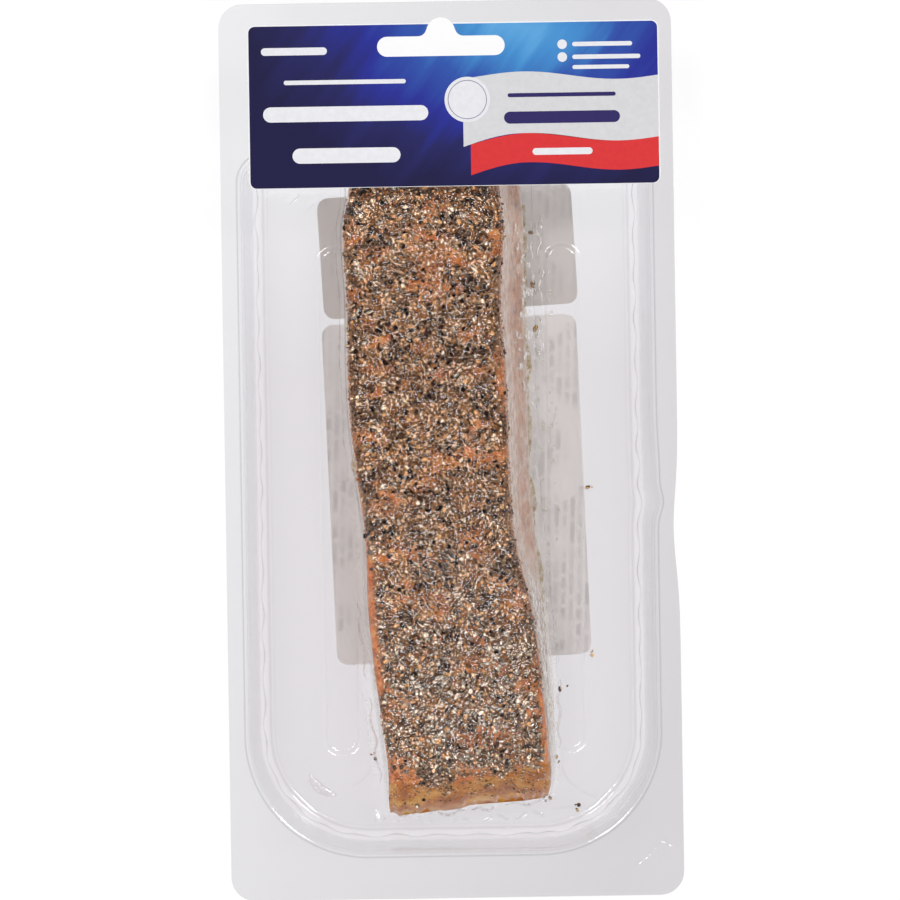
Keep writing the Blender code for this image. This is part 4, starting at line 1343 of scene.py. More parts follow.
def flesh_material(colours):
    """Flesh: orange where bare, dark under the pepper from oil and painted shade, pale on the flanks,
    golden at the tail, and silvery skin below.
    """
    # Hot smoked salmon, moist and soft: a little light passes into it, and oil gives it a low sheen. Fibres
    # run along the flanks between pale lines of fat, and the smoke has turned the tail's slope golden
    material, tree, surface = new_material("hot_smoked_salmon_flesh")
    place = add_node(tree, "TexCoord", out="Object")
    mottled = add_node(
        tree, "TexNoise", {"Vector": place, "Scale": 1 / (2.4 * MM), "Detail": 5.0, "Roughness": 0.7}
    )
    crust = add_node(
        tree, "ValToRGB", {"Fac": mottled}, [(0.34, "#AA5426"), (0.5, colours.flesh), (0.66, "#F2AC70")]
    )
    drawn = add_node(tree, "Mapping", {"Vector": place, "Scale": (1.0, 0.34, 1.0)})
    fibres = add_node(
        tree, "TexNoise", {"Vector": drawn, "Scale": 1 / (1.1 * MM), "Detail": 5.0, "Roughness": 0.7}
    )
    flank = add_node(
        tree, "ValToRGB", {"Fac": fibres}, [(0.34, "#CAA488"), (0.5, colours.flank), (0.64, "#F8F1E8")]
    )
    flakes = add_node(
        tree,
        "TexWave",
        {"Vector": place, "Scale": 0.628 / (7 * MM), "Distortion": 3.0, "Detail": 2.0, "Detail Scale": 0.4},
        bands_direction="DIAGONAL",
        out="Fac",
    )
    fat = add_node(tree, "MapRange", {"Value": flakes, "From Min": 0.8, "From Max": 1.0, "To Max": 0.4})
    flank = add_node(tree, "MixRGB", {"Fac": fat, "Color1": flank, "Color2": "#FBF3E8"})
    broad = add_node(
        tree, "TexNoise", {"Vector": place, "Scale": 1 / (5 * MM), "Detail": 2.5, "Roughness": 0.5}
    )
    golden = add_node(
        tree, "ValToRGB", {"Fac": broad}, [(0.34, "#A85E1A"), (0.5, colours.tail), (0.66, "#DEA64E")]
    )
    bare = add_node(tree, "Attribute", attribute_name="bare", out="Fac")
    # Under the pepper the flesh is dark brown: oil soaked, and painted shade between the grains
    soaked_and_shaded = add_node(tree, "ValToRGB", {"Fac": mottled}, [(0.35, "#38251A"), (0.65, "#AC7648")])
    crust = add_node(tree, "MixRGB", {"Fac": bare, "Color1": soaked_and_shaded, "Color2": crust})
    side = add_node(tree, "Attribute", attribute_name="side", out="Fac")
    tail = add_node(tree, "Attribute", attribute_name="tail", out="Fac")
    top = add_node(tree, "MixRGB", {"Fac": tail, "Color1": crust, "Color2": golden})
    colour = add_node(tree, "MixRGB", {"Fac": side, "Color1": top, "Color2": flank})
    under = add_node(tree, "Attribute", attribute_name="under", out="Fac")
    scales = add_node(tree, "TexVoronoi", {"Vector": place, "Scale": 1 / (2.4 * MM)})
    skin = add_node(tree, "ValToRGB", {"Fac": scales}, [(0.1, "#8C8A86"), (0.7, "#4B4A4A")])
    colour = add_node(tree, "MixRGB", {"Fac": under, "Color1": colour, "Color2": skin})
    smoothed = add_node(tree, "Math", {0: tail, 1: -0.8, 2: 1.0}, operation="MULTIPLY_ADD")
    flaky = add_node(tree, "Math", {0: fibres, 1: smoothed}, operation="MULTIPLY")
    relief = add_node(tree, "Bump", {"Height": flaky, "Strength": 0.7, "Distance": 0.3 * MM})
    shader = add_node(
        tree,
        "BsdfPrincipled",
        {
            "Base Color": colour,
            "Roughness": 0.4,
            "Specular IOR Level": 0.2,
            "Normal": relief,
            "Subsurface Weight": 0.15,
            "Subsurface Scale": 1.5 * MM,
        },
    )
    tree.links.new(shader, surface)
    return material


class SALMON_PACK_OT_flesh(bpy.types.Operator):
    """Carve the fillet's flesh, with its flanks, tail and skin side"""

    bl_idname = "salmon_pack.flesh"
    bl_label = "Carve Flesh"

    def execute(self, context):
        grid, _, _, up = flesh_grid()
        points, faces = capped_grid(grid)
        x, y = grid[..., 0], grid[..., 1]
        flank = smooth((0.62 - up) / 0.35)
        side = flank * np.where(x < 0, 0.12 + 0.55 * smooth((y + 45 * MM) / (90 * MM)), 1.0)
        tail = smooth((-82.5 * MM + 0.26 * np.maximum(x - 2 * MM, 0) - y) / (2.5 * MM))
        side = side * (1 - tail)
        under = (up < -0.7).astype(float)
        left, right, _, _ = stations(y.ravel())
        bare = np.maximum(bare_share(x.ravel(), y.ravel(), left, right), flank.ravel())
        values = {
            key: np.concatenate([value.ravel(), [ends[0], ends[1]]])
            for key, value, ends in (
                ("side", side, (0, 1)),
                ("tail", tail, (1, 0)),
                ("under", under, (0, 0)),
                ("bare", bare, (1, 1)),
            )
        }
        mesh = weld(new_mesh("salmon_flesh", points, faces, values), upward=False)
        material = flesh_material(context.scene.salmon_pack_colours)
        place_piece("salmon_flesh", mesh, material, ["salmon_fillet"])
        return {"FINISHED"}


def pepper_material(name, husk, core, roughness):
    """Cracked pepper in a husk and a core colour, painted darker low between the grains and lighter on top.
    """
    # Dried peppercorns, cracked: a wrinkled husk with seams, paler mealy faces where a corn broke, and a
    # sheen where oil wets them. Grit and seams are drawn coarser than real ones, so that they show
    material, tree, surface = new_material(name)
    place = add_node(tree, "TexCoord", out="Object")
    island = add_node(tree, "NewGeometry", out="Random Per Island")
    grit = add_node(
        tree, "TexNoise", {"Vector": place, "Scale": 1 / (0.34 * MM), "Detail": 3.0, "Roughness": 0.65}
    )
    outside = add_node(tree, "ValToRGB", {"Fac": island}, husk)
    within = add_node(tree, "ValToRGB", {"Fac": island}, core)
    broken = add_node(tree, "Attribute", attribute_name="broken", out="Fac")
    edge = add_node(tree, "Math", {0: grit, 1: broken}, operation="ADD")
    share = add_node(tree, "MapRange", {"Value": edge, "From Min": 1.34, "From Max": 1.5})
    colour = add_node(tree, "MixRGB", {"Fac": share, "Color1": outside, "Color2": within})
    # Painted shade and light: each chip darkens low down between the grains and lightens on its top
    rise = add_node(tree, "Attribute", attribute_name="rise", out="Fac")
    rise_shade = add_node(
        tree, "MapRange", {"Value": rise, "From Min": 0.04, "From Max": 0.44, "To Min": 0.05, "To Max": 1.6}
    )
    shade = add_node(
        tree, "MapRange", {"Value": grit, "From Min": 0.34, "From Max": 0.66, "To Min": 0.3, "To Max": 1.8}
    )
    cracks = add_node(
        tree, "TexVoronoi", {"Vector": place, "Scale": 1 / (0.6 * MM)}, feature="DISTANCE_TO_EDGE"
    )
    seam = add_node(tree, "MapRange", {"Value": cracks, "From Max": 0.16, "To Min": 0.3, "To Max": 1.12})
    shade = add_node(tree, "Math", {0: shade, 1: seam}, operation="MULTIPLY")
    shade = add_node(tree, "Math", {0: shade, 1: rise_shade}, operation="MULTIPLY")
    colour = add_node(
        tree, "MixRGB", {"Fac": 1.0, "Color1": colour, "Color2": shade}, blend_type="MULTIPLY"
    )
    relief = add_node(tree, "Bump", {"Height": grit, "Strength": 0.8, "Distance": 0.11 * MM})
    shader = add_node(
        tree,
        "BsdfPrincipled",
        {"Base Color": colour, "Roughness": roughness, "Specular IOR Level": 0.26, "Normal": relief},
    )
    tree.links.new(shader, surface)
    return material


def chips(rng, places, normals, radii, subdivisions, flats, face_up):
    """Points, faces, broken faces and rise of chips: uneven balls sliced flat, a share of them face up."""
    bm = bmesh.new()
    bmesh.ops.create_icosphere(bm, subdivisions=subdivisions, radius=1.0)
    shape = np.array([tuple(vert.co) for vert in bm.verts])
    faces = np.array([[vert.index for vert in face.verts] for face in bm.faces])
    bm.free()
    count = len(places)
    forms = shape[None] * (1 + rng.uniform(-CHIP_UNEVENNESS, CHIP_UNEVENNESS, (count, len(shape), 1)))
    forms *= rng.uniform(*CHIP_STRETCH, (count, 1, 3))
    turn = rng.normal(size=(count, 4))
    turn /= np.linalg.norm(turn, axis=1, keepdims=True)
    w, a, b, c = turn.T
    spin = np.stack(
        [
            np.stack([1 - 2 * (b * b + c * c), 2 * (a * b - c * w), 2 * (a * c + b * w)], axis=1),
            np.stack([2 * (a * b + c * w), 1 - 2 * (a * a + c * c), 2 * (b * c - a * w)], axis=1),
            np.stack([2 * (a * c - b * w), 2 * (b * c + a * w), 1 - 2 * (a * a + b * b)], axis=1),
        ],
        axis=1,
    )
    forms = np.einsum("nij,nvj->nvi", spin, forms)
    broken = np.zeros((count, len(faces)))
    upright = rng.uniform(0, 1, (count, 1, 1)) < face_up
    for number in range(flats):
        cut = rng.normal(size=(count, 1, 3))
        depth = rng.uniform(*CUT_DEPTHS, (count, 1))
        if number == 0:
            cut = np.where(upright, normals[:, None] + 0.3 * cut, cut)
            depth = np.where(upright[:, 0], 0.35 + 0.35 * depth, depth)
        cut /= np.linalg.norm(cut, axis=2, keepdims=True)
        over = np.maximum((forms * cut).sum(axis=2) - depth, 0.0)
        forms -= over[..., None] * cut
        sliced = (over > 0)[:, faces].sum(axis=2) >= 2
        broken = np.maximum(broken, sliced)
    lift = (forms * normals[:, None]).sum(axis=2, keepdims=True)
    forms -= (1 - GRAIN_FLATNESS) * lift * normals[:, None]
    rise = np.squeeze(lift, axis=2)
    points = places[:, None] + forms * radii[:, None, None]
    all_faces = faces[None] + (np.arange(count) * len(shape))[:, None, None]
    return points.reshape(-1, 3), all_faces.reshape(-1, 3), broken.ravel(), rise.ravel()


def pepper_mesh(name, rng, places, normals, radii, flats, face_up=0.0):
    """One mesh of many chips, the large ones finer."""
    large = radii > FINE_GRAIN_RADIUS
    parts = []
    for some, subdivisions in ((large, 2), (~large, 1)):
        if some.any():
            parts.append(chips(rng, places[some], normals[some], radii[some], subdivisions, flats, face_up))
    firsts = np.cumsum([0] + [len(part[0]) for part in parts])
    points = np.concatenate([part[0] for part in parts])
    faces = np.concatenate([part[1] + first for part, first in zip(parts, firsts)])
    mesh = new_mesh(name, points, [faces], {"rise": np.concatenate([part[3] for part in parts])})
    layer = mesh.attributes.new("broken", "FLOAT", "FACE")
    layer.data.foreach_set("value", np.concatenate([part[2] for part in parts]).astype(np.float32))
    return mesh


class SALMON_PACK_OT_pepper(bpy.types.Operator):
    """Lay the cracked pepper on the crust"""

    bl_idname = "salmon_pack.pepper"
    bl_label = "Lay Pepper"

    def execute(self, context):
        colours = context.scene.salmon_pack_colours
        seed = context.scene.salmon_pack_pepper.seed
        place, normal, radius, draw, dark, _ = pepper_of(context)
        low_end = smooth((-38 * MM - place[:, 1]) / (14 * MM))
        size = radius / MM
        black_share = np.clip(0.11 + 0.75 * dark + 0.32 * size - 0.26 * low_end, 0.03, 0.85)
        brown_share = np.clip(0.28 - 0.2 * dark - 0.12 * low_end, 0.05, 0.45)
        is_black = draw < black_share
        is_brown = (draw >= black_share) & (draw < black_share + brown_share)
        is_grey = ~is_black & ~is_brown & (np.modf(draw * 997)[0] < 0.16 + 0.6 * low_end)
        is_cream = ~is_black & ~is_brown & ~is_grey
        black = [(0.0, "#160B06"), (0.5, colours.husk), (1.0, "#4C3426")]
        cream = [(0.0, "#C08C5C"), (0.5, colours.core), (1.0, "#F8E0C0")]
        cracked = [(0.0, "#2E1E14"), (0.5, "#6E482C"), (1.0, "#B48050")]
        brown = [(0.0, "#744428"), (0.5, colours.brown), (1.0, "#DEA670")]
        grey = [(0.0, "#8A7864"), (0.5, "#C2AC92"), (1.0, "#EEE0CA")]
        shell = [(0.0, "#503A2A"), (1.0, "#A07C5C")]
        # Whole black husk, cracked corns that show their pale core, corns soaked in oil, and dusty grey
        # ones: each with its grains, husk, core, roughness, flat cuts and share of chips that lie face up
        kinds = (
            ("pepper_black", is_black, black, shell, 0.16, 2, 0.2),
            ("pepper_cracked", is_cream, cracked, cream, 0.24, 3, 0.55),
            ("pepper_oiled", is_brown, brown, brown, 0.22, 3, 0.4),
            ("pepper_grey", is_grey, cracked, grey, 0.2, 2, 0.6),
        )
        rng = np.random.default_rng(seed + 40)
        spots, spot_normals, bare = crust_spots(rng, DUST_TRIES)
        on_tail = smooth((-84 * MM - spots[:, 1]) / (2.5 * MM))
        chance = 0.4 * smooth((bare - 0.2) / 0.4) * (1 - 0.5 * on_tail)
        strewn = (rng.uniform(0, 1, len(bare)) < chance) & (spot_normals[:, 2] > 0.3)
        dust_radius = rng.uniform(*DUST_RADII, strewn.sum()) * MM
        dust = pepper_mesh("pepper_dust", rng, spots[strewn], spot_normals[strewn], dust_radius, 1)
        # Dust of the same pepper, dry and matt, in specks from black husk to pale core
        speckle = [(0.0, "#1E1A18"), (0.45, "#4A3626"), (0.7, "#8A5C34"), (1.0, "#D8B07A")]
        bits = pepper_material("pepper_dust_bits", speckle, speckle, 0.5)
        place_piece("pepper_dust", dust, bits, ["salmon_fillet"], smooth_shade=False)
        for number, (name, chosen, husk, core, roughness, flats, face_up) in enumerate(kinds):
            rng = np.random.default_rng(seed + number)
            mesh = pepper_mesh(name, rng, place[chosen], normal[chosen], radius[chosen], flats, face_up)
            material = pepper_material(name + "_corns", husk, core, roughness)
            place_piece(name, mesh, material, ["salmon_fillet"], smooth_shade=False)
        return {"FINISHED"}


class SALMON_PACK_OT_crumbs(bpy.types.Operator):
    """Scatter the loose crumbs and lay the oil beside the fillet"""

    bl_idname = "salmon_pack.crumbs"
    bl_label = "Scatter Crumbs"

    def execute(self, context):
        colours = context.scene.salmon_pack_colours
        rng = np.random.default_rng(context.scene.salmon_pack_pepper.seed + 20)
        places, radii = [], []
        for x, y in np.array(LOOSE_CRUMBS) * MM:
            for _ in range(CRUMBS_PER_PLACE):
                places.append((x + rng.normal(0, CRUMB_SPREAD), y + rng.normal(0, CRUMB_SPREAD)))
                radii.append(rng.uniform(*CRUMB_RADII) * MM)
        places, radii = np.array(places), np.array(radii)
        floor = FLOOR_TOP + rib_height(*places.T) + 0.6 * radii
        places = np.column_stack([places, floor])
        normals = np.tile([0.0, 0.0, 1.0], (len(places), 1))
        mesh = pepper_mesh("loose_crumbs", rng, places, normals, radii, 3)
        husk = [(0.0, "#3A2E24"), (0.5, colours.brown), (1.0, "#C9A066")]
        core = [(0.0, "#A0763F"), (1.0, "#E0C088")]
        # Loose corns lie drier on the tray, so they are more matt than those on the oily crust
        material = pepper_material("loose_pepper_corns", husk, core, 0.5)
        place_piece("loose_crumbs", mesh, material, smooth_shade=False)
        self.lay_oil()
        return {"FINISHED"}

    def lay_oil(self):
        """Thin pools of fish oil along both feet of the fillet, and drops of it to the right of them."""
        y = np.arange(-89.0, 62.0, 0.6) * MM
        left, _, foot, _ = stations(y)
        across = np.linspace(0, 1, 6)
        parts = []
        for edge, direction, width in ((foot - 0.9 * MM, 1, 1.4), (left + 2.0 * MM, -1, 2.3)):
            wobble = 0.8 + 0.9 * noise_field(edge, y, 9 * MM, 30.0 + direction)
            wobble += 0.35 * noise_field(edge, y, 3 * MM, 35.0)
            reach = width * MM * np.maximum(wobble, 0.12)
            x = edge[:, None] + direction * reach[:, None] * across
            dome = OIL_DOME * np.sqrt(np.maximum(1 - (2 * across - 1) ** 2, 0.0))
            rows_y = skewed(x, np.broadcast_to(y[:, None], x.shape))
            z = FLOOR_TOP + OIL_GAP + rib_height(x, rows_y) + dome
            grid = np.stack([x, rows_y, z], axis=-1)
            clear = np.zeros(grid.shape[0] * grid.shape[1])
            parts.append((grid.reshape(-1, 3), [grid_faces(*grid.shape[:2])], {"drop": clear}))
        rng = np.random.default_rng(33)
        steps = np.linspace(0, math.pi / 2, 5)
        turns = np.linspace(0, 2 * math.pi, 12, endpoint=False)
        for _ in range(OIL_DROPS):
            drop_y = rng.uniform(*DROP_Y) * MM
            _, _, drop_foot, _ = stations(np.array([drop_y]))
            size = rng.uniform(*DROP_RADII) * MM
            drop_x = drop_foot[0] + rng.uniform(*DROP_OFF_FOOT) * MM
            level = FILM_FLOOR + 0.02 * MM + float(rib_height(np.array([drop_x]), np.array([drop_y]))[0])
            wide = np.outer(np.cos(steps) * size, np.cos(turns)) * rng.uniform(0.6, 1.0)
            deep = np.outer(np.cos(steps) * size, np.sin(turns)) * rng.uniform(1.0, 1.6)
            rise = np.repeat(np.sin(steps)[:, None] * size * 0.45, len(turns), axis=1)
            grid = np.stack([drop_x + wide, drop_y + deep, level + rise], axis=-1)
            clear = np.ones(grid.shape[0] * grid.shape[1])
            parts.append((grid.reshape(-1, 3), [grid_faces(*grid.shape[:2], wrap=True)], {"drop": clear}))
        mesh = weld(new_mesh("fish_oil", *join_parts(parts)))
        # Salmon oil pressed out under the film: amber in patches where it is thick, clear and wet
        material, tree, surface = new_material("pressed_fish_oil")
        place = add_node(tree, "TexCoord", out="Object")
        patchy = add_node(
            tree, "TexNoise", {"Vector": place, "Scale": 1 / (1.3 * MM), "Detail": 5.0, "Roughness": 0.7}
        )
        amber_stops = [(0.42, "#F8F5EE"), (0.55, "#E2D0A6"), (0.69, "#A08250")]
        amber = add_node(tree, "ValToRGB", {"Fac": patchy}, amber_stops)
        drop = add_node(tree, "Attribute", attribute_name="drop", out="Fac")
        amber = add_node(tree, "MixRGB", {"Fac": drop, "Color1": amber, "Color2": "#F4F3EE"})
        clear = add_node(tree, "BsdfTransparent", {"Color": amber})
        gloss = add_node(tree, "BsdfAnisotropic", {"Color": (1, 1, 1, 1), "Roughness": 0.08})
        wet = add_node(tree, "MixShader", {0: 0.08, 1: clear, 2: gloss})
        tree.links.new(wet, surface)
        place_piece("fish_oil", mesh, material)


def plate(name, outline, low, high, holes=()):
    """A flat closed solid from an outline, its holes cut out."""
    flat, faces = fill_region(outline, holes)
    a, b, c = (flat[faces[:, i]] for i in range(3))
    clockwise = (b - a)[:, 0] * (c - a)[:, 1] < (b - a)[:, 1] * (c - a)[:, 0]
    faces = np.where(clockwise[:, None], faces[:, ::-1], faces)
    edges = [(face[i], face[(i + 1) % 3]) for face in faces.tolist() for i in range(3)]
    shared = set(edges)
    rim = np.array([edge for edge in edges if edge[::-1] not in shared])
    above = len(flat)
    walls = np.column_stack([rim, rim[:, ::-1] + above])
    points = np.concatenate([np.column_stack([flat, np.full(above, z)]) for z in (low, high)])
    mesh = new_mesh(name, points, [faces[:, ::-1], faces + above, walls])
    mesh.shade_flat()
    return mesh


def swept_field(left, right, low, high, low_droop, high_droop):
    """A field of colour between two like curves, which droop at the left end; all in mm."""
    t = np.linspace(0, 1, 40)
    x = left + (right - left) * t
    sway = 1.1 * np.sin(2 * math.pi * (1.05 * t - 0.08))
    end = np.maximum(1 - t / 0.3, 0) ** 2
    bottom = np.column_stack([x, low + sway - low_droop * end])
    top = np.column_stack([x, high + sway - high_droop * end])
    return np.concatenate([bottom, top[::-1]]) * MM


def bar(left, right, bottom, top):
    """A plain bar with round ends, in mm."""
    radius = 0.499 * (top - bottom) * MM
    return rounded_box(left * MM, right * MM, bottom * MM, top * MM, (radius, radius), (6, 6), (1, 1, 1, 1))


def ink(name, colour, roughness=0.3):
    """Printed colour with a faint unevenness and soft waves."""
    # Ink printed on film and varnished: even, smooth and softly glossy. Its screen is drawn coarser than
    # the real one, so that it shows
    material, tree, surface = new_material(name)
    place = add_node(tree, "TexCoord", out="Object")
    screen = add_node(tree, "TexNoise", {"Vector": place, "Scale": 1 / (1.2 * MM), "Detail": 2.0})
    shade = add_node(
        tree,
        "MapRange",
        {"Value": screen, "From Min": 0.3, "From Max": 0.7, "To Min": 0.965, "To Max": 1.03},
    )
    toned = add_node(tree, "MixRGB", {"Fac": 1.0, "Color1": colour, "Color2": shade}, blend_type="MULTIPLY")
    waves = add_node(tree, "TexNoise", {"Vector": place, "Scale": 1 / (16 * MM), "Detail": 1.0})
    bump = add_node(tree, "Bump", {"Height": waves, "Strength": 0.5, "Distance": 0.5 * MM})
    shader = add_node(
        tree,
        "BsdfPrincipled",
        {"Base Color": toned, "Roughness": roughness, "Normal": bump, "Specular IOR Level": 0.2},
    )
    tree.links.new(shader, surface)
    return material


def navy_ink(colours):
    """Navy ink that lightens to blue round one point right of the slot, in faint slanting rays."""
    material = ink("varnished_navy_ink", colours.navy)
    tree = material.node_tree
    place = add_node(tree, "TexCoord", out="Object")
    moved = add_node(
        tree,
        "Mapping",
        {
            "Vector": place,
            "Location": (-0.6 * 19 * MM, -105.5 * MM, -LABEL_BOX[1].z),
            "Scale": (0.6, 1.0, 1.0),
        },
    )
    distance = add_node(tree, "VectorMath", {0: moved}, operation="LENGTH", out="Value")
    slant = add_node(
        tree,
        "Mapping",
        {"Vector": place, "Rotation": (0, 0, math.radians(-38)), "Scale": (1.0, 8.0, 1.0)},
        vector_type="TEXTURE",
    )
    rays = add_node(tree, "TexNoise", {"Vector": slant, "Scale": 1 / (5 * MM), "Detail": 3.0})
    broken = add_node(
        tree,
        "MapRange",
        {"Value": rays, "From Min": 0.3, "From Max": 0.7, "To Min": -3.6 * MM, "To Max": 3.6 * MM},
    )
    reach = add_node(tree, "Math", {0: distance, 1: broken}, operation="ADD")
    share = add_node(tree, "Math", {0: reach, 1: 50 * MM}, operation="DIVIDE", use_clamp=True)
    glow = add_node(
        tree,
        "ValToRGB",
        {"Fac": share},
        [
            (0.02, colours.glow),
            (0.14, "#458CCB"),
            (0.30, "#3355A8"),
            (0.48, "#2B3192"),
            (0.64, colours.navy),
            (0.84, "#211F45"),
        ],
    )
    shader = next(node for node in tree.nodes if node.type == "BSDF_PRINCIPLED")
    tree.links.new(glow, shader.inputs["Base Color"])
    return material


class SALMON_PACK_OT_header(bpy.types.Operator):
    """Print the header label in plain fields of colour"""

    bl_idname = "salmon_pack.header"
    bl_label = "Print Header Label"

    def execute(self, context):
        colours = context.scene.salmon_pack_colours
        low, high = LABEL_BOX
        left, right, bottom, top = low.x, high.x, low.y, high.y
        stock_radii = (LABEL_RADIUS, LABEL_RADIUS)
        stock_outline = rounded_box(left, right, bottom, top, stock_radii, (8, 8), (4, 4, 4, 4))
        field = rounded_box(
            left + STOCK_BORDER,
            right - STOCK_BORDER,
            bottom + STOCK_BORDER * 0.4,
            top - STOCK_BORDER,
            (LABEL_RADIUS - STOCK_BORDER, LABEL_RADIUS - STOCK_BORDER),
            (8, 8),
            (4, 4, 4, 4),
        )
        slot = slot_outline()
        stock_top = low.z + STOCK_THICKNESS
        name = "header_label_stock"
        stock = plate(name, stock_outline, low.z, stock_top, [slot])
        # White film stock: it shows as a thin glossy rim round the print
        white = ink("white_film_label_stock", "#F2F2F4", 0.35)
        place_piece(name, stock, white, ["header_label"], smooth_shade=False)
        levels = [stock_top + step * PRINT_STEP for step in range(5)]
        right_mm = (right - STOCK_BORDER) / MM
        silver_edge = swept_field(4.3, right_mm, 77.7, 93.1, 1.6, 0.0)
        red_edge = swept_field(6.1, right_mm, 70.4, 77.7, 1.4, 1.0)
        disc, ring, ring_hole = (
            arc(DISC_X, DISC_Y, radius * MM, 0, 360, 48)[:-1] for radius in DISC_RADII
        )
        fields = (
            ("label_navy_field", field, navy_ink(colours), 0, 1, [slot]),
            ("label_silver_field", silver_edge, ink("varnished_silver_ink", colours.silver), 1, 2, ()),
            ("label_red_field", red_edge, ink("varnished_red_ink", colours.red), 1, 2, ()),
            ("label_disc", disc, ink("varnished_pale_ink", "#E4E4E8"), 2, 3, ()),
            ("label_ring", ring, ink("varnished_grey_ink", "#8E8EA6"), 3, 4, [ring_hole]),
        )
        for name, outline, material, level, upper_level, holes in fields:
            mesh = plate(name, outline, levels[level], levels[upper_level], holes)
            place_piece(name, mesh, material, smooth_shade=False)
        for name, bars, material in (
            ("label_pale_bars", PALE_BARS, ink("varnished_white_ink", "#E6E6EA")),
            ("label_deep_bars", DEEP_BARS, ink("varnished_deep_ink", "#332D63")),
        ):
            bm = bmesh.new()
            for edges in bars:
                piece = plate(name, bar(*edges), levels[2], levels[3])
                bm.from_mesh(piece)
                bpy.data.meshes.remove(piece)
            mesh = bpy.data.meshes.new(name)
            bm.to_mesh(mesh)
            bm.free()
            place_piece(name, mesh, material, smooth_shade=False)
        return {"FINISHED"}


def paper_material(name, tone, print_tone):
    """Label paper with rows of short grey bars on its underside, which show through it faintly."""
    # Thermal paper: matt and off white, and light passes through it. Its fibres are drawn coarser than real
    # ones, so that they show
    material, tree, surface = new_material(name)
    place = add_node(tree, "TexCoord", out="Object")
    normal = add_node(tree, "NewGeometry", out="Normal")
    facing = add_node(tree, "SeparateXYZ", {"Vector": normal}, out="Z")
    below = add_node(tree, "Math", {0: facing, 1: -0.5}, operation="LESS_THAN")
    moved = add_node(tree, "Mapping", {"Vector": place, "Rotation": (0, 0, math.radians(92))})
    bars = add_node(
        tree,
        "TexBrick",
        {
            "Vector": moved,
            "Color1": (1, 1, 1, 1),
            "Color2": (0.3, 0.3, 0.3, 1),
            "Mortar": (0, 0, 0, 1),
            "Scale": 1.0,
            "Mortar Size": 0.55 * MM,
            "Mortar Smooth": 0.3,
            "Bias": 0.2,
            "Brick Width": 6.5 * MM,
            "Row Height": 2.0 * MM,
        },
        offset=0.37,
        offset_frequency=3,
        squash=0.6,
        squash_frequency=2,
    )
    blocks = add_node(tree, "TexNoise", {"Vector": place, "Scale": 1 / (14 * MM), "Detail": 0.0})
    shown = add_node(tree, "MapRange", {"Value": blocks, "From Min": 0.42, "From Max": 0.5, "To Max": 1.0})
    printed = add_node(tree, "Math", {0: bars, 1: shown}, operation="MULTIPLY")
    front = add_node(tree, "MixRGB", {"Fac": printed, "Color1": tone, "Color2": print_tone})
    back = add_node(tree, "MixRGB", {"Fac": printed, "Color1": "#F0F0EE", "Color2": "#3A3A3C"})
    colour = add_node(tree, "MixRGB", {"Fac": below, "Color1": front, "Color2": back})
    fibre = add_node(tree, "TexNoise", {"Vector": place, "Scale": 1 / (0.4 * MM), "Detail": 3.0})
    relief = add_node(tree, "Bump", {"Height": fibre, "Strength": 0.3, "Distance": 0.05 * MM})
    shader = add_node(tree, "BsdfPrincipled", {"Base Color": colour, "Roughness": 0.65, "Normal": relief})
    through = add_node(tree, "BsdfTranslucent", {"Color": colour})
    paper = add_node(tree, "MixShader", {0: PAPER_TRANSLUCENCE, 1: shader, 2: through})
    tree.links.new(paper, surface)
    return material


class SALMON_PACK_OT_back_labels(bpy.types.Operator):
    """Finish the two paper labels under the well"""

    bl_idname = "salmon_pack.back_labels"
    bl_label = "Finish Back Labels"

    def execute(self, context):
        for name, tone, print_tone in (
            ("back_label_upper", "#EEEAE6", "#E8E5E2"),
            ("back_label_lower", "#FCFAF7", "#F3F0ED"),
        ):
            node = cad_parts[name]
            node.data.materials.clear()
            paper_name = name.replace("back_label", "thermal_paper")
            node.data.materials.append(paper_material(paper_name, tone, print_tone))
        return {"FINISHED"}


def softbox(name, azimuth, tilt, radiance):
    """An area light that faces the pack from an azimuth and a tilt off the vertical, in degrees."""
    turn, lean = math.radians(azimuth), math.radians(tilt)
    direction = Vector((math.sin(turn) * math.sin(lean), math.cos(turn) * math.sin(lean), math.cos(lean)))
    light = bpy.data.lights.new(name, "AREA")
    light.shape = "RECTANGLE"
    light.size = SOFTBOX_SIDE
    light.size_y = SOFTBOX_SIDE
    light.energy = radiance * math.pi * SOFTBOX_SIDE * SOFTBOX_SIDE
    lamp = bpy.data.objects.new(name, light)
    lamp.location = direction * SOFTBOX_DISTANCE
    lamp.rotation_mode = "QUATERNION"
    lamp.rotation_quaternion = direction.to_track_quat("Z", "Y")
    bpy.context.scene.collection.objects.link(lamp)


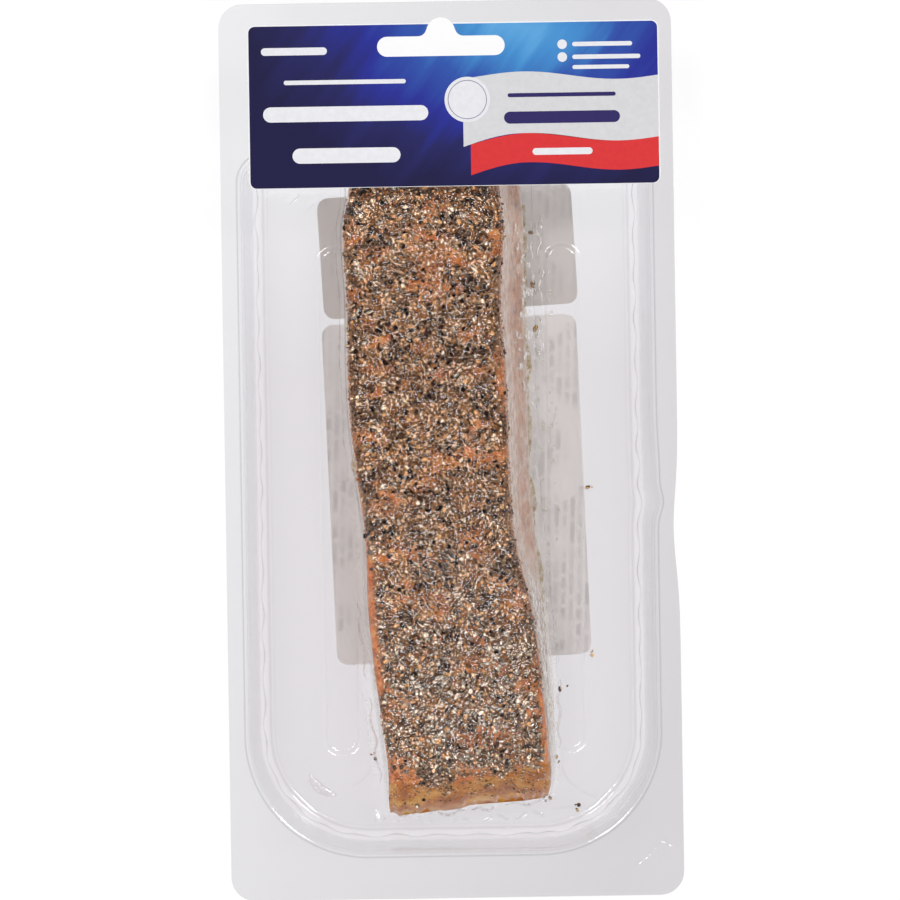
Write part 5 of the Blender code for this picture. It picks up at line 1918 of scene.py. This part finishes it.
class SALMON_PACK_OT_stage(bpy.types.Operator):
    """Set the pale floor, the softboxes and the camera"""

    bl_idname = "salmon_pack.stage"
    bl_label = "Set Stage"

    def execute(self, context):
        scene = context.scene
        bm = bmesh.new()
        bmesh.ops.create_grid(bm, x_segments=1, y_segments=1, size=3.0)
        mesh = bpy.data.meshes.new("studio_floor")
        bm.to_mesh(mesh)
        bm.free()
        floor = bpy.data.objects.new("studio_floor", mesh)
        floor.location.z = -FLOOR_GAP
        scene.collection.objects.link(floor)
        # Lit white acrylic: glows from below, so that the ground is white, and takes a faint contact shadow
        material, tree, surface = new_material("lit_white_acrylic")
        glow = add_node(tree, "Emission", {"Color": (1, 1, 1, 1), "Strength": 0.86})
        matt = add_node(tree, "BsdfDiffuse", {"Color": (0.16, 0.16, 0.16, 1)})
        both = add_node(tree, "AddShader", {0: glow, 1: matt})
        tree.links.new(both, surface)
        mesh.materials.append(material)
        for settings in SOFTBOXES:
            softbox(*settings)
        # A dark ceiling over pale walls: the sides get light, and the film mirrors little from above
        world = bpy.data.worlds.new("pale_room")
        world.use_nodes = True
        room = world.node_tree
        direction = add_node(room, "TexCoord")
        height = add_node(room, "SeparateXYZ", {"Vector": direction}, out="Z")
        strength = add_node(
            room, "MapRange", {"Value": height, "From Max": 0.9, "To Min": 0.7, "To Max": 0.08}
        )
        room.links.new(strength, room.nodes["Background"].inputs["Strength"])
        room.nodes["Background"].inputs["Color"].default_value = (1, 1, 1, 1)
        scene.world = world
        scene.view_settings.view_transform = "Standard"
        scene.view_settings.look = "None"
        scene.cycles.transparent_max_bounces = 24
        scene.cycles.max_bounces = 6
        camera_data = bpy.data.cameras.new("overhead_camera")
        camera_data.sensor_width = SENSOR_WIDTH
        camera_data.lens = SENSOR_WIDTH * CAMERA_HEIGHT / VIEW_WIDTH
        camera_data.clip_start = 0.1
        camera_data.clip_end = 20
        camera = bpy.data.objects.new("overhead_camera", camera_data)
        camera.location = (-0.3 * MM, -0.1 * MM, FLANGE_TOP + CAMERA_HEIGHT)
        camera.rotation_euler = (0, 0, CAMERA_TURN)
        scene.collection.objects.link(camera)
        scene.camera = camera
        return {"FINISHED"}


OPERATORS = (
    SALMON_PACK_OT_tray,
    SALMON_PACK_OT_flesh,
    SALMON_PACK_OT_pepper,
    SALMON_PACK_OT_crumbs,
    SALMON_PACK_OT_film,
    SALMON_PACK_OT_header,
    SALMON_PACK_OT_back_labels,
    SALMON_PACK_OT_stage,
)
SETTINGS = (
    ("salmon_pack_film", SalmonPackFilm),
    ("salmon_pack_pepper", SalmonPackPepper),
    ("salmon_pack_colours", SalmonPackColours),
)


class SALMON_PACK_PT_panel(bpy.types.Panel):
    """Lists the settings and the steps that dress the pack"""

    bl_idname = "SALMON_PACK_PT_panel"
    bl_label = "Salmon Pack"
    bl_space_type = "VIEW_3D"
    bl_region_type = "UI"
    bl_category = "Salmon Pack"

    def draw(self, context):
        for name, group in SETTINGS:
            box = self.layout.box()
            for key in group.__annotations__:
                box.prop(getattr(context.scene, name), key)
        for operator in OPERATORS:
            self.layout.operator(operator.bl_idname)


def register():
    for name, group in SETTINGS:
        bpy.utils.register_class(group)
        setattr(bpy.types.Scene, name, PointerProperty(type=group))
    for operator in OPERATORS:
        bpy.utils.register_class(operator)
    bpy.utils.register_class(SALMON_PACK_PT_panel)


def unregister():
    bpy.utils.unregister_class(SALMON_PACK_PT_panel)
    for operator in reversed(OPERATORS):
        bpy.utils.unregister_class(operator)
    for name, group in reversed(SETTINGS):
        delattr(bpy.types.Scene, name)
        bpy.utils.unregister_class(group)


def main():
    """Registers the classes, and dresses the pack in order."""
    register()
    bpy.ops.salmon_pack.tray()
    bpy.ops.salmon_pack.flesh()
    bpy.ops.salmon_pack.pepper()
    bpy.ops.salmon_pack.crumbs()
    bpy.ops.salmon_pack.film()
    bpy.ops.salmon_pack.header()
    bpy.ops.salmon_pack.back_labels()
    bpy.ops.salmon_pack.stage()


if __name__ == "__main__":
    main()
